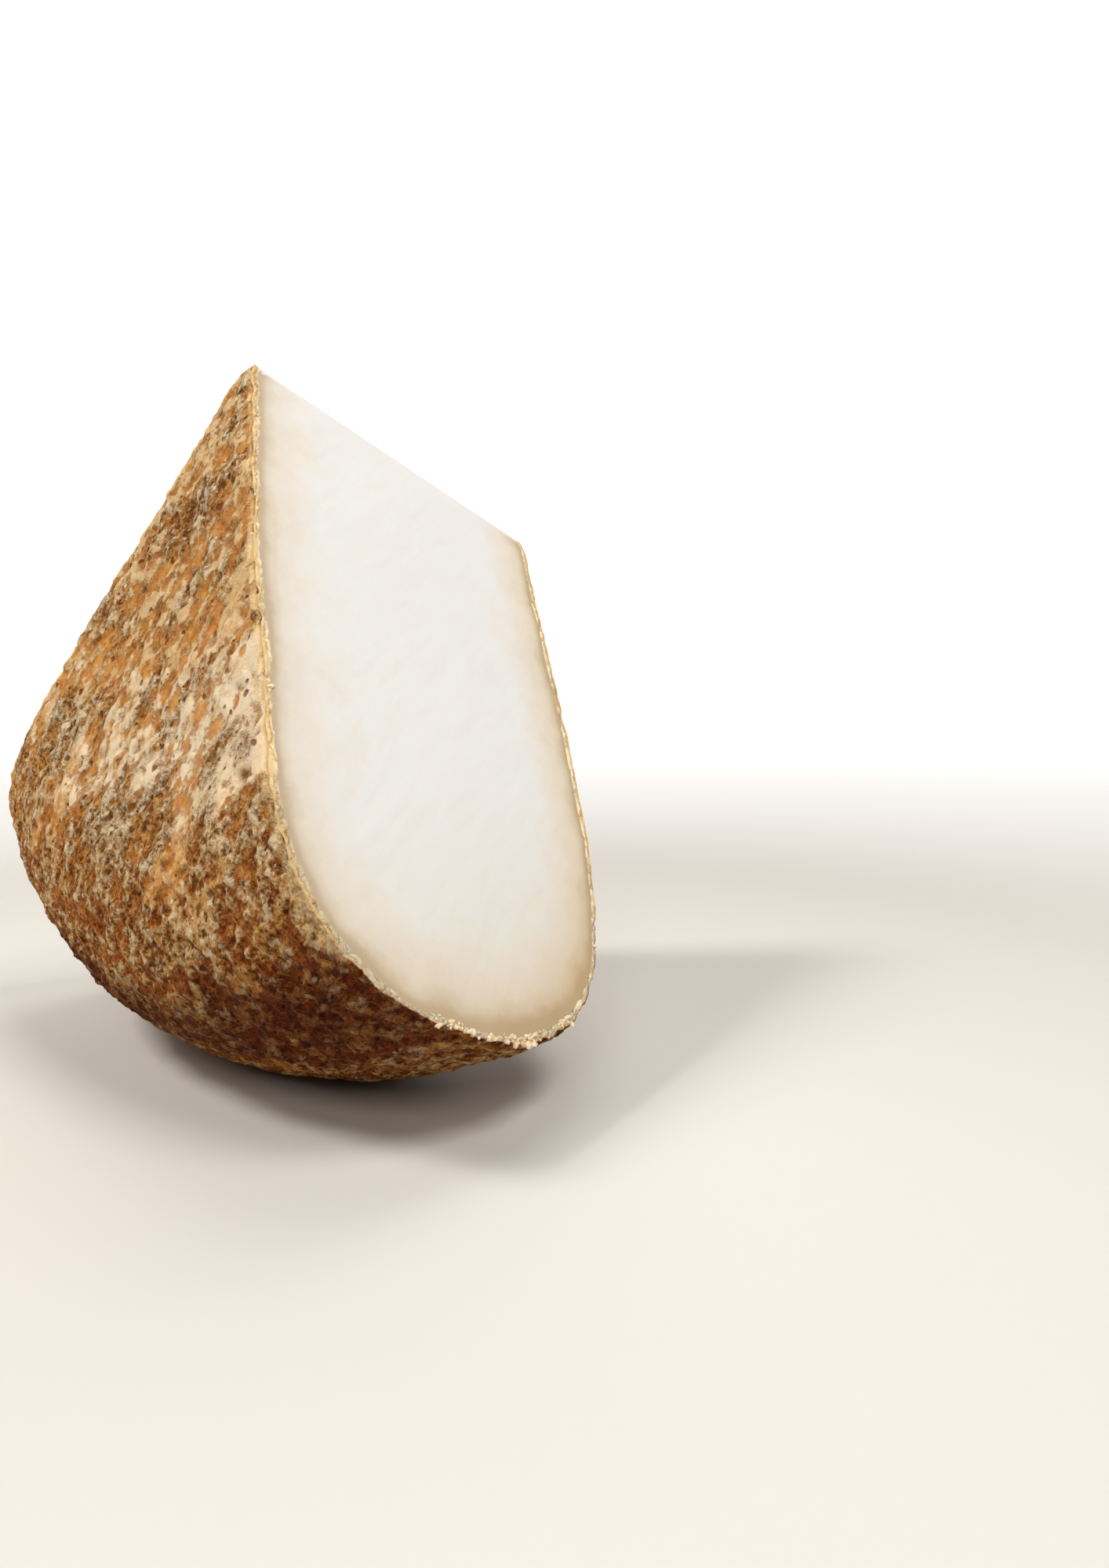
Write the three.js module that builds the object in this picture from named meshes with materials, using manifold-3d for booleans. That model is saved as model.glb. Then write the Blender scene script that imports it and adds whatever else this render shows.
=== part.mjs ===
// A wedge of white cheese with a mottled, craggy rind, cut from a thick round wheel.
//
// The wheel is a short drum whose rim is rounded all the way from face to face. Two knife cuts
// through its axis leave the wedge, which stands on its rim with one cut and one face in view.
//
// The wedge is first built in the wheel's own frame: "along" runs down the wheel's axis from the
// near face to the far face, "out" runs from the axis towards the rim, and the turn runs round
// the axis from the front cut to the back cut. It is then turned to the way it stands, with the
// origin in the middle of the small flat spot that it rests on. Millimetres, +Z up.
import * as THREE from 'three';
import { mergeVertices } from 'three/addons/utils/BufferGeometryUtils.js';
import Module from 'manifold-3d';

// ---- Driving dimensions, in millimetres and radians ----
const degrees = THREE.MathUtils.degToRad;

const THICKNESS = 99; // of the wheel, from face to face
const RADIUS = 164; // of the wheel, at the fullest part of its rim
const CUT_TURN = degrees(66.2); // between the two knife cuts

// The rim is a quarter of a superellipse on each side of its fullest line.
const RIM_NEAR = { reach: 54.5, depth: 54, power: 2.35 }; // along the axis, in from the rim
const RIM_FAR = { reach: THICKNESS - RIM_NEAR.reach, depth: 68.5, power: 2.25 };

// How the wedge stands: where the axis heads, how far it dips, and how far the front cut has
// rolled round the axis from straight down.
const AXIS_HEADING = degrees(46.5);
const AXIS_DIP = degrees(18.4);
const FRONT_CUT_ROLL = degrees(-30.2);
const TIP = new THREE.Vector3(-10, -9, 173.2); // the near end of the axis, from the origin

// The edge where the cuts would meet is blunt: a narrow flat joins the two cuts, this far out on
// each of them. The rind's corners at the two ends of that edge are worn back.
const BLUNT_EDGE = { front: 1, back: 3.5 };
const WORN_CORNER = { along: 1.7, out: 5 };

// The rind's relief. Each layer of crags is a smooth random field, stretched along the grain.
const CRAG_LAYERS = [
  { seed: 10, size: 52, height: 1 },
  { seed: 22, size: 19, height: 0.7 },
  { seed: 61, size: 10, height: 0.6 },
  { seed: 44, size: 6.5, height: 0.5 },
];
const GRAIN_STRETCH = 1.9; // how much longer the crags are along the grain than across it
const GRAIN_TURN = degrees(60); // the grain's direction, round the axis from the front cut
const SMOOTH_TIP = 9; // the relief dies away within this distance of the axis
const SMOOTH_BASE = 11; // and within this height of the rest, to keep the flat spot clean

const FACET = 2.9; // the size of the rind's facets
const OUTLINE_STEPS = 400; // in each quarter of the rim, before it is spaced out evenly
const TRIMMER = 500; // the side of a block that trims the wedge, larger than the wedge

// ---- The rind's relief ----

/** A fixed random value from -1 to 1 for one corner of a unit lattice. */
function cornerValue(x, y, z, seed) {
  let bits = Math.imul(x, 0x27d4eb2d) ^ Math.imul(y, 0x165667b1);
  bits ^= Math.imul(z, 0x1b873593) ^ Math.imul(seed, 0x2545f491);
  bits = Math.imul(bits ^ (bits >>> 15), 0x2c1b3c6d);
  bits = Math.imul(bits ^ (bits >>> 12), 0x297a2d39);
  bits ^= bits >>> 15;
  return (bits >>> 0) / 0x7fffffff - 1;
}

/** A smooth random field from -1 to 1, blended between the corners of a unit lattice. */
function smoothField(x, y, z, seed) {
  const corner = [x, y, z].map(Math.floor);
  const ease = [x, y, z].map((value, axis) => {
    const part = value - corner[axis];
    return part * part * part * (part * (part * 6 - 15) + 10);
  });
  let sum = 0;
  for (let index = 0; index < 8; index += 1) {
    const step = [index & 1, (index >> 1) & 1, index >> 2];
    const weight = step.reduce((w, s, axis) => w * (s ? ease[axis] : 1 - ease[axis]), 1);
    sum += weight * cornerValue(corner[0] + step[0], corner[1] + step[1], corner[2] + step[2], seed);
  }
  return sum;
}

/** How far the rind stands proud (or lies low) at a point of the wheel's own frame. */
function relief(point) {
  const alongGrain = point.y * Math.cos(GRAIN_TURN) + point.z * Math.sin(GRAIN_TURN);
  const acrossGrain = point.z * Math.cos(GRAIN_TURN) - point.y * Math.sin(GRAIN_TURN);
  return CRAG_LAYERS.reduce((height, layer) => {
    const field = smoothField(
      point.x / layer.size,
      acrossGrain / layer.size,
      alongGrain / (layer.size * GRAIN_STRETCH),
      layer.seed,
    );
    return height + layer.height * field;
  }, 0);
}

// ---- The wheel's section ----

/** One quarter of the rim, from the flat face (share 0) to the fullest line (share 1). */
function rimPoint(rim, share) {
  const angle = (share * Math.PI) / 2;
  return new THREE.Vector2(
    rim.reach * (1 - Math.cos(angle) ** (2 / rim.power)),
    RADIUS - rim.depth + rim.depth * Math.sin(angle) ** (2 / rim.power),
  );
}

/** The section's outline from the near end of the axis, round the rim, to the far end. */
function sectionOutline() {
  const outline = [new THREE.Vector2(WORN_CORNER.along, 0), new THREE.Vector2(0, WORN_CORNER.out)];
  for (let i = 0; i <= OUTLINE_STEPS; i += 1) outline.push(rimPoint(RIM_NEAR, i / OUTLINE_STEPS));
  for (let i = OUTLINE_STEPS - 1; i >= 0; i -= 1) {
    const point = rimPoint(RIM_FAR, i / OUTLINE_STEPS);
    outline.push(point.setX(THICKNESS - point.x));
  }
  outline.push(new THREE.Vector2(THICKNESS, WORN_CORNER.out));
  outline.push(new THREE.Vector2(THICKNESS - WORN_CORNER.along, 0));
  return outline;
}

/** The outline at even steps of its length: places and the outward normals there. */
function evenSection(outline, step) {
  const lengths = [0];
  for (let i = 1; i < outline.length; i += 1) {
    lengths.push(lengths[i - 1] + outline[i].distanceTo(outline[i - 1]));
  }
  const total = lengths[lengths.length - 1];
  const count = Math.round(total / step);
  const stations = [];
  let piece = 1;
  for (let i = 0; i <= count; i += 1) {
    const length = (total * i) / count;
    while (piece < outline.length - 1 && lengths[piece] < length) piece += 1;
    const from = outline[piece - 1];
    const share = (length - lengths[piece - 1]) / (lengths[piece] - lengths[piece - 1]);
    const place = from.clone().lerp(outline[piece], share);
    const run = outline[piece].clone().sub(from).normalize();
    stations.push({ place, normal: new THREE.Vector2(-run.y, run.x) });
  }
  return stations;
}

// ---- The wedge ----

/** The turn that takes the wheel's own frame to the way the wedge stands. */
function standingTurn() {
  const axis = new THREE.Vector3(
    Math.cos(AXIS_DIP) * Math.cos(AXIS_HEADING),
    Math.cos(AXIS_DIP) * Math.sin(AXIS_HEADING),
    -Math.sin(AXIS_DIP),
  );
  const down = new THREE.Vector3(0, 0, -1);
  const front = down.addScaledVector(axis, -down.dot(axis)).normalize();
  front.applyAxisAngle(axis, FRONT_CUT_ROLL);
  const side = new THREE.Vector3().crossVectors(axis, front);
  return new THREE.Matrix4().makeBasis(axis, front, side).setPosition(TIP);
}

/** A point of the rind in the wheel's own frame, raised or lowered by the relief. */
function rindPoint(station, turn, standing) {
  const around = new THREE.Vector2(Math.cos(turn), Math.sin(turn));
  const { place, normal } = station;
  const smooth = new THREE.Vector3(place.x, place.y * around.x, place.y * around.y);
  const stood = smooth.clone().applyMatrix4(standing);
  const fade = THREE.MathUtils.smoothstep(place.y, 0, SMOOTH_TIP)
    * THREE.MathUtils.smoothstep(stood.z, 0, SMOOTH_BASE);
  const outward = new THREE.Vector3(normal.x, normal.y * around.x, normal.y * around.y);
  return smooth.addScaledVector(outward, fade * relief(smooth));
}

/** Triangles between two neighbouring rows that share their first and last turns. */
function zipRows(near, far, triangles) {
  const nearSteps = near.length - 1;
  const farSteps = far.length - 1;
  let i = 0;
  let j = 0;
  while (i < nearSteps || j < farSteps) {
    const nearNext = i < nearSteps ? (i + 1) / nearSteps : Infinity;
    const farNext = j < farSteps ? (j + 1) / farSteps : Infinity;
    if (nearNext <= farNext) {
      triangles.push(near[i], near[i + 1], far[j]);
      i += 1;
    } else {
      triangles.push(near[i], far[j + 1], far[j]);
      j += 1;
    }
  }
}

/** Triangles of a flat cut whose outline is one end of every row. */
function fillCut(outline, vertices, facing, triangles) {
  const flat = outline.map((index) => {
    const point = vertices[index];
    return new THREE.Vector2(point.x, Math.hypot(point.y, point.z));
  });
  THREE.ShapeUtils.triangulateShape(flat, []).forEach(([a, b, c]) => {
    const ab = flat[b].clone().sub(flat[a]);
    const ac = flat[c].clone().sub(flat[a]);
    const ordered = ab.cross(ac) * facing > 0 ? [a, b, c] : [a, c, b];
    triangles.push(...ordered.map((corner) => outline[corner]));
  });
}

/** The whole wedge as one closed surface, before it is trimmed. */
function wedgeGeometry(standing) {
  const vertices = [];
  const triangles = [];
  const rows = evenSection(sectionOutline(), FACET).map((station) => {
    const steps = Math.round((station.place.y * CUT_TURN) / FACET);
    const shares = steps === 0 ? [0] : Array.from({ length: steps + 1 }, (_, k) => k / steps);
    return shares.map((share) => vertices.push(rindPoint(station, share * CUT_TURN, standing)) - 1);
  });
  for (let i = 1; i < rows.length; i += 1) zipRows(rows[i - 1], rows[i], triangles);
  fillCut(rows.map((row) => row[0]), vertices, -1, triangles);
  fillCut(rows.map((row) => row[row.length - 1]), vertices, 1, triangles);
  const geometry = new THREE.BufferGeometry().setFromPoints(vertices);
  geometry.setIndex(triangles);
  return geometry.applyMatrix4(standing);
}

/** A large block whose one face goes through the point and faces the way given. */
function trimmingBlock(point, facing) {
  const turn = new THREE.Quaternion().setFromUnitVectors(new THREE.Vector3(0, 0, 1), facing);
  return new THREE.BoxGeometry(TRIMMER, TRIMMER, TRIMMER)
    .translate(0, 0, -TRIMMER / 2)
    .applyQuaternion(turn)
    .translate(point.x, point.y, point.z);
}

/** The block that leaves the flat spot on the rim. */
function restBlock() {
  return trimmingBlock(new THREE.Vector3(0, 0, 0), new THREE.Vector3(0, 0, 1));
}

/** The block that leaves the blunt edge between the two cuts. */
function edgeBlock(standing) {
  const onFront = new THREE.Vector3(0, BLUNT_EDGE.front, 0);
  const onBack = new THREE.Vector3(0, Math.cos(CUT_TURN), Math.sin(CUT_TURN));
  const across = onBack.multiplyScalar(BLUNT_EDGE.back).sub(onFront);
  const facing = new THREE.Vector3(0, across.z, -across.y).transformDirection(standing);
  return trimmingBlock(onFront.applyMatrix4(standing), facing);
}

// ---- Trimming ----
const wasm = await Module();
wasm.setup();

/** A closed geometry as a solid. */
function toSolid(geometry) {
  const bare = geometry.clone();
  bare.deleteAttribute('normal');
  bare.deleteAttribute('uv');
  const merged = mergeVertices(bare);
  return new wasm.Manifold(new wasm.Mesh({
    numProp: 3,
    vertProperties: new Float32Array(merged.attributes.position.array),
    triVerts: new Uint32Array(merged.index.array),
  }));
}

/** A solid as a geometry. */
function toGeometry(solid) {
  const mesh = solid.getMesh();
  const geometry = new THREE.BufferGeometry();
  geometry.setAttribute('position', new THREE.BufferAttribute(mesh.vertProperties, 3));
  geometry.setIndex(new THREE.BufferAttribute(mesh.triVerts, 1));
  geometry.computeVertexNormals();
  return geometry;
}

const standing = standingTurn();
const whole = toSolid(wedgeGeometry(standing));
const trimmed = whole.subtract(toSolid(restBlock())).subtract(toSolid(edgeBlock(standing)));

const wedge = new THREE.Mesh(
  toGeometry(trimmed),
  new THREE.MeshStandardMaterial({ color: 0xe9dfcd, roughness: 0.7, metalness: 0 }),
);
wedge.name = 'cheese_wedge';

const cheese = new THREE.Group();
cheese.add(wedge);

export default cheese;
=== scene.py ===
"""A wedge of white cheese with a mottled, craggy rind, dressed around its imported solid.

The wedge has three pieces. The rind is a thin shell, craggy outside, whose cut edge shows as a
narrow band round both knife cuts. The paste is the white inside with its two cut faces. The
crumbs are small grains that cling where the knife broke the rind's edge.

Shapes are worked out in millimetres in the wheel's own frame: "along" runs down the wheel's
axis from the near face to the far face, "out" runs from the axis to the rim, and the turn runs
round the axis from the front cut to the back cut. The stance then stands the wedge up.
"""

import itertools
import logging
import math
from dataclasses import dataclass, field
from enum import Enum
from typing import Any

import bmesh
import bpy
import numpy as np
from mathutils import Euler, Matrix, Vector
from mathutils.geometry import delaunay_2d_cdt


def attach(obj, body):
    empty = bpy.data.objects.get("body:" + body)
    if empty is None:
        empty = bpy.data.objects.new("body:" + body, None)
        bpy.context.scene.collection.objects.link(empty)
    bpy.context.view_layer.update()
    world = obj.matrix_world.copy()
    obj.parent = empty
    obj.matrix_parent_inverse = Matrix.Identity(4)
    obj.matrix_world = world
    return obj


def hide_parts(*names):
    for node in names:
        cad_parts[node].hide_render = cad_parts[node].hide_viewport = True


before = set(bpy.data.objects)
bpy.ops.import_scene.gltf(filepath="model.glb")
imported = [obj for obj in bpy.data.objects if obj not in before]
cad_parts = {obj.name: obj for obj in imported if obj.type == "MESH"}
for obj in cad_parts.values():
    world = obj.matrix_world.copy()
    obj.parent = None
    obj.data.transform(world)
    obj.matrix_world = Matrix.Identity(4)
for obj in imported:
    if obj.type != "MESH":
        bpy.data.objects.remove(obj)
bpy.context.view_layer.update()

LOG = logging.getLogger("cheese_wedge")
Array = np.ndarray
Socket = bpy.types.NodeSocket
Triple = tuple[float, float, float]
Colour = Triple
Span = tuple[float, float]

MILLIMETRE = 0.001
BODY = "root"
NODE = "cheese_wedge"
KNIFE_DRAG = math.radians(-52.0)
INSIDE_ONLY = 1
MERGE_WITHIN = 1e-6
NO_LENGTH = 1e-12


# ---- Random fields ----

LATTICE_PRIMES = (0x27D4EB2D, 0x165667B1, 0x1B873593)
SEED_PRIME = 0x2545F491
MIXERS = ((15, 0x2C1B3C6D), (12, 0x297A2D39))
LAST_SHIFT = 15
WORD = 0xFFFFFFFF
HALF_WORD = 0x7FFFFFFF


def lattice_value(corners: Array, seed: int) -> Array:
    """Give each corner of a unit lattice a fixed random value.

    Args:
        corners: Whole-number corners, one row of three each.
        seed: Picks one field out of many.

    Returns:
        A value from -1 to 1 for each row.
    """
    cells = corners.astype(np.int64).astype(np.uint32)
    bits = np.full(len(cells), (seed * SEED_PRIME) & WORD, np.uint32)
    for axis, prime in enumerate(LATTICE_PRIMES):
        bits ^= cells[:, axis] * np.uint32(prime)
    for shift, prime in MIXERS:
        bits = (bits ^ (bits >> np.uint32(shift))) * np.uint32(prime)
    bits ^= bits >> np.uint32(LAST_SHIFT)
    return bits / HALF_WORD - 1.0


def smooth_field(points: Array, seed: int) -> Array:
    """Blend the lattice's random values into a smooth field.

    Args:
        points: Places in lattice units, one row of three each.
        seed: Picks one field out of many.

    Returns:
        A value from -1 to 1 for each row.
    """
    corner = np.floor(points)
    part = points - corner
    ease = part**3 * (part * (part * 6.0 - 15.0) + 10.0)
    total = np.zeros(len(points))
    for step in itertools.product((0, 1), repeat=3):
        weight = np.prod(np.where(step, ease, 1.0 - ease), axis=1)
        total += weight * lattice_value(corner + step, seed)
    return total


def smoothstep(value: Array, low: float, high: float) -> Array:
    """Rise smoothly from 0 at low to 1 at high.

    Args:
        value: The values to shape.
        low: Where the rise starts.
        high: Where the rise ends.

    Returns:
        A share from 0 to 1 for each value.
    """
    share = np.clip((value - low) / (high - low), 0.0, 1.0)
    return share * share * (3.0 - 2.0 * share)


# ---- The wheel's form ----


@dataclass(frozen=True)
class RimQuarter:
    """One side of the rounded rim, a quarter of a superellipse, in millimetres."""

    reach: float
    depth: float
    power: float

    def points(self, radius: float, steps: int) -> Array:
        """Trace the quarter from the flat face to the fullest line.

        Args:
            radius: The wheel's radius at its fullest line.
            steps: How many steps the quarter takes.

        Returns:
            Rows of (along, out), with along measured in from the face.
        """
        angle = np.linspace(0.0, math.pi / 2, steps + 1)
        along = self.reach * (1.0 - np.maximum(np.cos(angle), 0.0) ** (2.0 / self.power))
        out = radius - self.depth + self.depth * np.sin(angle) ** (2.0 / self.power)
        return np.stack([along, out], axis=1)


@dataclass(frozen=True)
class Stations:
    """Places round the wheel's section, with the outward normal at each."""

    place: Array
    normal: Array


@dataclass(frozen=True)
class Section:
    """The wheel's section through its axis, in millimetres."""

    thickness: float = 99.0
    radius: float = 164.0
    near_rim: RimQuarter = RimQuarter(reach=54.5, depth=54.0, power=2.35)
    far_rim: RimQuarter = RimQuarter(reach=44.5, depth=68.5, power=2.25)
    worn_along: float = 1.7
    worn_out: float = 5.0
    quarter_steps: int = 400

    def outline(self) -> Array:
        """Trace the section from the near end of the axis, round the rim, to the far end.

        Returns:
            Rows of (along, out).
        """
        near = self.near_rim.points(self.radius, self.quarter_steps)
        far = self.far_rim.points(self.radius, self.quarter_steps)[-2::-1]
        far[:, 0] = self.thickness - far[:, 0]
        start = [[self.worn_along, 0.0], [0.0, self.worn_out]]
        end = [[self.thickness, self.worn_out], [self.thickness - self.worn_along, 0.0]]
        return np.concatenate([start, near, far, end])

    def stations(self, step: float) -> Stations:
        """Space the section out evenly.

        Args:
            step: The wanted distance between neighbours, in millimetres.

        Returns:
            The places and their outward normals.
        """
        outline = self.outline()
        runs = np.diff(outline, axis=0)
        lengths = np.linalg.norm(runs, axis=1)
        reached = np.concatenate([[0.0], np.cumsum(lengths)])
        wanted = np.linspace(0.0, reached[-1], round(reached[-1] / step) + 1)
        piece = np.clip(np.searchsorted(reached, wanted) - 1, 0, len(runs) - 1)
        share = (wanted - reached[piece]) / lengths[piece]
        place = outline[piece] + runs[piece] * share[:, None]
        run = runs[piece] / lengths[piece, None]
        return Stations(place, np.stack([-run[:, 1], run[:, 0]], axis=1))


@dataclass(frozen=True)
class Border:
    """A closed border of four sides in order: front cut, far end, back cut, near end.

    Each side is a row of indices, and starts at the corner where the one before it ends.
    """

    sides: list[Array]

    def ring(self) -> Array:
        """Run once round the border, with each corner once."""
        return np.concatenate([side[:-1] for side in self.sides])

    def split(self, ring: Array) -> list[Array]:
        """Split rows that run once round the border into its sides, each with both corners.

        Args:
            ring: One row for each index of the ring.

        Returns:
            The rows of each side.
        """
        closed = np.concatenate([ring, ring[:1]])
        ends = np.cumsum([len(side) - 1 for side in self.sides])
        return [closed[end - len(side) + 1:end + 1] for side, end in zip(self.sides, ends)]


@dataclass(frozen=True)
class Sweep:
    """A surface swept round the axis: its places, normals, turns and rows of indices."""

    place: Array
    normal: Array
    turn: Array
    rows: list[Array]

    def border(self) -> Border:
        """Find its border.

        Returns:
            The border, whose front side runs from the near end to the far end.
        """
        front = np.array([row[0] for row in self.rows])
        back = np.array([row[-1] for row in self.rows])
        return Border([front, self.rows[-1], back[::-1], self.rows[0][::-1]])

    def triangles(self) -> Array:
        """Join each row of the sweep to the next with triangles."""
        pairs = zip(self.rows[:-1], self.rows[1:])
        return np.concatenate([zip_rows(near, far) for near, far in pairs])


def zip_rows(near: Array, far: Array) -> Array:
    """Fill the strip between two rows of indices whose ends lie side by side.

    Args:
        near: The first row.
        far: The second row, which may have another count.

    Returns:
        Rows of three indices.
    """
    near_steps, far_steps = len(near) - 1, len(far) - 1
    made = []
    i = j = 0
    while i < near_steps or j < far_steps:
        if j >= far_steps or (i < near_steps and (i + 1) * far_steps <= (j + 1) * near_steps):
            made.append((near[i], near[i + 1], far[j]))
            i += 1
        else:
            made.append((near[i], far[j + 1], far[j]))
            j += 1
    return np.array(made, int)


@dataclass(frozen=True)
class WedgeForm:
    """The wedge that the two knife cuts leave of the wheel, in millimetres."""

    section: Section = Section()
    cut_turn: float = math.radians(66.2)
    blunt_front: float = 1.0
    blunt_back: float = 3.5
    blunt_fade: float = 8.0

    def blunt_out(self, turn: Array) -> Array:
        """Find how far out the narrow flat between the two cuts lies.

        Args:
            turn: The turns round the axis.

        Returns:
            The distance from the axis at each turn.
        """
        front = np.array([self.blunt_front, 0.0])
        across = self.blunt_corner() - front
        sides = np.stack([np.cos(turn), np.sin(turn)], axis=1)
        level = front[0] * across[1] - front[1] * across[0]
        return level / (sides[:, 0] * across[1] - sides[:, 1] * across[0])

    def blunt_corner(self) -> Array:
        """Place the narrow flat's corner on the back cut."""
        return self.blunt_back * np.array([math.cos(self.cut_turn), math.sin(self.cut_turn)])

    def blunt_facing(self) -> Array:
        """Give the narrow flat's outward direction in the wheel's frame."""
        across = self.blunt_corner() - np.array([self.blunt_front, 0.0])
        return np.array([0.0, -across[1], across[0]]) / np.linalg.norm(across)

    def cut_facings(self) -> tuple[Array, Array]:
        """Give the outward directions of the front cut and the back cut."""
        back = np.array([0.0, -math.sin(self.cut_turn), math.cos(self.cut_turn)])
        return np.array([0.0, 0.0, -1.0]), back

    def clear_of_axis(self, out: Array, turn: Array) -> Array:
        """Move distances from the axis so that they start at the narrow flat.

        Args:
            out: Distances from the axis.
            turn: The turn of each.

        Returns:
            The moved distances.
        """
        start = self.blunt_out(turn)
        moved = start + out * (self.blunt_fade - start) / self.blunt_fade
        return np.where(out < self.blunt_fade, moved, out)

    def surface(self, place: Array, normal: Array, turn: Array, height: Array | float) -> Array:
        """Place points of a surface that follows the rind.

        Args:
            place: Rows of (along, out) on the section.
            normal: The section's outward normal at each.
            turn: The turn round the axis of each.
            height: How far outside the section each point stands.

        Returns:
            Points in the wheel's frame.
        """
        moved = place + normal * np.reshape(height, (-1, 1))
        out = self.clear_of_axis(moved[:, 1], turn)
        return np.stack([moved[:, 0], out * np.cos(turn), out * np.sin(turn)], axis=1)

    def sweep(self, step: float, fewest: int) -> Sweep:
        """Spread even points over the rind, from cut to cut.

        Args:
            step: The wanted distance between neighbours.
            fewest: The least steps from cut to cut, near the axis.

        Returns:
            The spread points.
        """
        stations = self.section.stations(step)
        counts = np.maximum(
            fewest, np.rint(stations.place[:, 1] * self.cut_turn / step).astype(int)
        )
        ends = np.cumsum(counts + 1)
        rows = [np.arange(end - count - 1, end) for end, count in zip(ends, counts)]
        turn = np.concatenate([np.linspace(0.0, self.cut_turn, n + 1) for n in counts])
        owner = np.repeat(np.arange(len(counts)), counts + 1)
        return Sweep(stations.place[owner], stations.normal[owner], turn, rows)


@dataclass(frozen=True)
class Stance:
    """How the wedge stands, with the origin in the flat spot that it rests on."""

    heading: float = math.radians(46.5)
    dip: float = math.radians(18.4)
    roll: float = math.radians(-30.2)
    tip: Triple = (-10.0, -9.0, 173.2)

    def turn(self) -> Matrix:
        """Turn the wheel's frame to the standing frame.

        Returns:
            The turn, whose columns are the wheel's three directions.
        """
        axis = Vector((
            math.cos(self.dip) * math.cos(self.heading),
            math.cos(self.dip) * math.sin(self.heading),
            -math.sin(self.dip),
        ))
        down = Vector((0.0, 0.0, -1.0))
        front = (down - axis * down.dot(axis)).normalized()
        front.rotate(Matrix.Rotation(self.roll, 3, axis))
        return Matrix((axis, front, axis.cross(front))).transposed()

    def stand(self, points: Array) -> Array:
        """Place points of the wheel's frame where the wedge stands, in millimetres."""
        return points @ np.array(self.turn()).T + np.array(self.tip)


# ---- The rind's relief ----


@dataclass(frozen=True)
class Crags:
    """One layer of crags: a smooth random field with its size and height."""

    seed: int
    size: float
    height: float

    def rise(self, grain: Array) -> Array:
        """Give the layer's height at points of the grain's frame."""
        return self.height * smooth_field(grain / self.size, self.seed)


@dataclass(frozen=True)
class Pits:
    """One kind of pit: bowls scattered one to a cell, each of its own size.

    The cell and the depth are in millimetres, and the other lengths in cells.
    """

    seed: int
    cell: float
    share: float
    radius: Span
    depth: float
    stray: float = 0.42
    ragged: float = 0.34
    bend_size: float = 0.4
    bend_seed: int = 20
    flat_share: float = 0.25

    def bowls(self, grain: Array) -> Array:
        """Find how deep in a pit each point lies.

        Args:
            grain: Points of the grain's frame, in millimetres.

        Returns:
            0 outside every pit, rising to 1 at a pit's bottom.
        """
        bend_place = grain / (self.bend_size * self.cell)
        bend_seeds = (self.seed + self.bend_seed + axis for axis in range(3))
        bend = np.stack([smooth_field(bend_place, seed) for seed in bend_seeds], axis=1)
        cells = grain / self.cell + bend * self.ragged * self.radius[1]
        base = np.floor(cells)
        deepest = np.zeros(len(grain))
        for step in itertools.product((-1, 0, 1), repeat=3):
            corner = base + step
            draws = [lattice_value(corner, self.seed + k) for k in range(1, 6)]
            centre = corner + 0.5 + self.stray * np.stack(draws[:3], axis=1)
            low, high = self.radius
            reach = low + (high - low) * (draws[3] * 0.5 + 0.5)
            apart = np.linalg.norm(cells - centre, axis=1) / reach
            bowl = 1.0 - smoothstep(apart, self.flat_share, 1.0)
            present = draws[4] < 2.0 * self.share - 1.0
            deepest = np.maximum(deepest, np.where(present, bowl, 0.0))
        return deepest


@dataclass(frozen=True)
class RoughPatch:
    """A patch of broken rind: its middle in the wheel's frame and its reach, in millimetres."""

    middle: Triple
    reach: float

    def share(self, points: Array) -> Array:
        """Fall from 1 at the middle towards 0 well outside the reach."""
        apart = np.linalg.norm(points - np.array(self.middle), axis=1)
        return np.exp(-((apart / self.reach) ** 2))


@dataclass(frozen=True)
class Hollows:
    """The ragged shallow hollows where the rind's rust shows."""

    broad: Crags = Crags(seed=301, size=2.9, height=1.0)
    ragged: tuple[Crags, ...] = (
        Crags(seed=302, size=1.9, height=0.7),
        Crags(seed=303, size=1.2, height=0.4),
    )
    patches: Crags = Crags(seed=304, size=15.0, height=0.4)
    shun_crests: float = 0.25
    low: float = -0.1
    high: float = 0.5
    depth: float = 0.48

    def field(self, grain: Array, grit: Array, crags: Array) -> Array:
        """Tell hollows from crests.

        Args:
            grain: Points of the frame where the hollows are round.
            grit: The same points in the grit's frame.
            crags: The height of the broad crags at each.

        Returns:
            A value that is highest in the middle of a hollow.
        """
        edges = sum(layer.rise(grit) for layer in self.ragged)
        return self.broad.rise(grain) + edges + self.patches.rise(grain) - self.shun_crests * crags

    def sink(self, value: Array) -> Array:
        """Turn the field's value into a depth."""
        return self.depth * smoothstep(value, self.low, self.high)


@dataclass(frozen=True)
class Relief:
    """What the relief comes to at some points, in millimetres."""

    crags: Array
    detail: Array
    pit: Array
    hollow: Array


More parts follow.
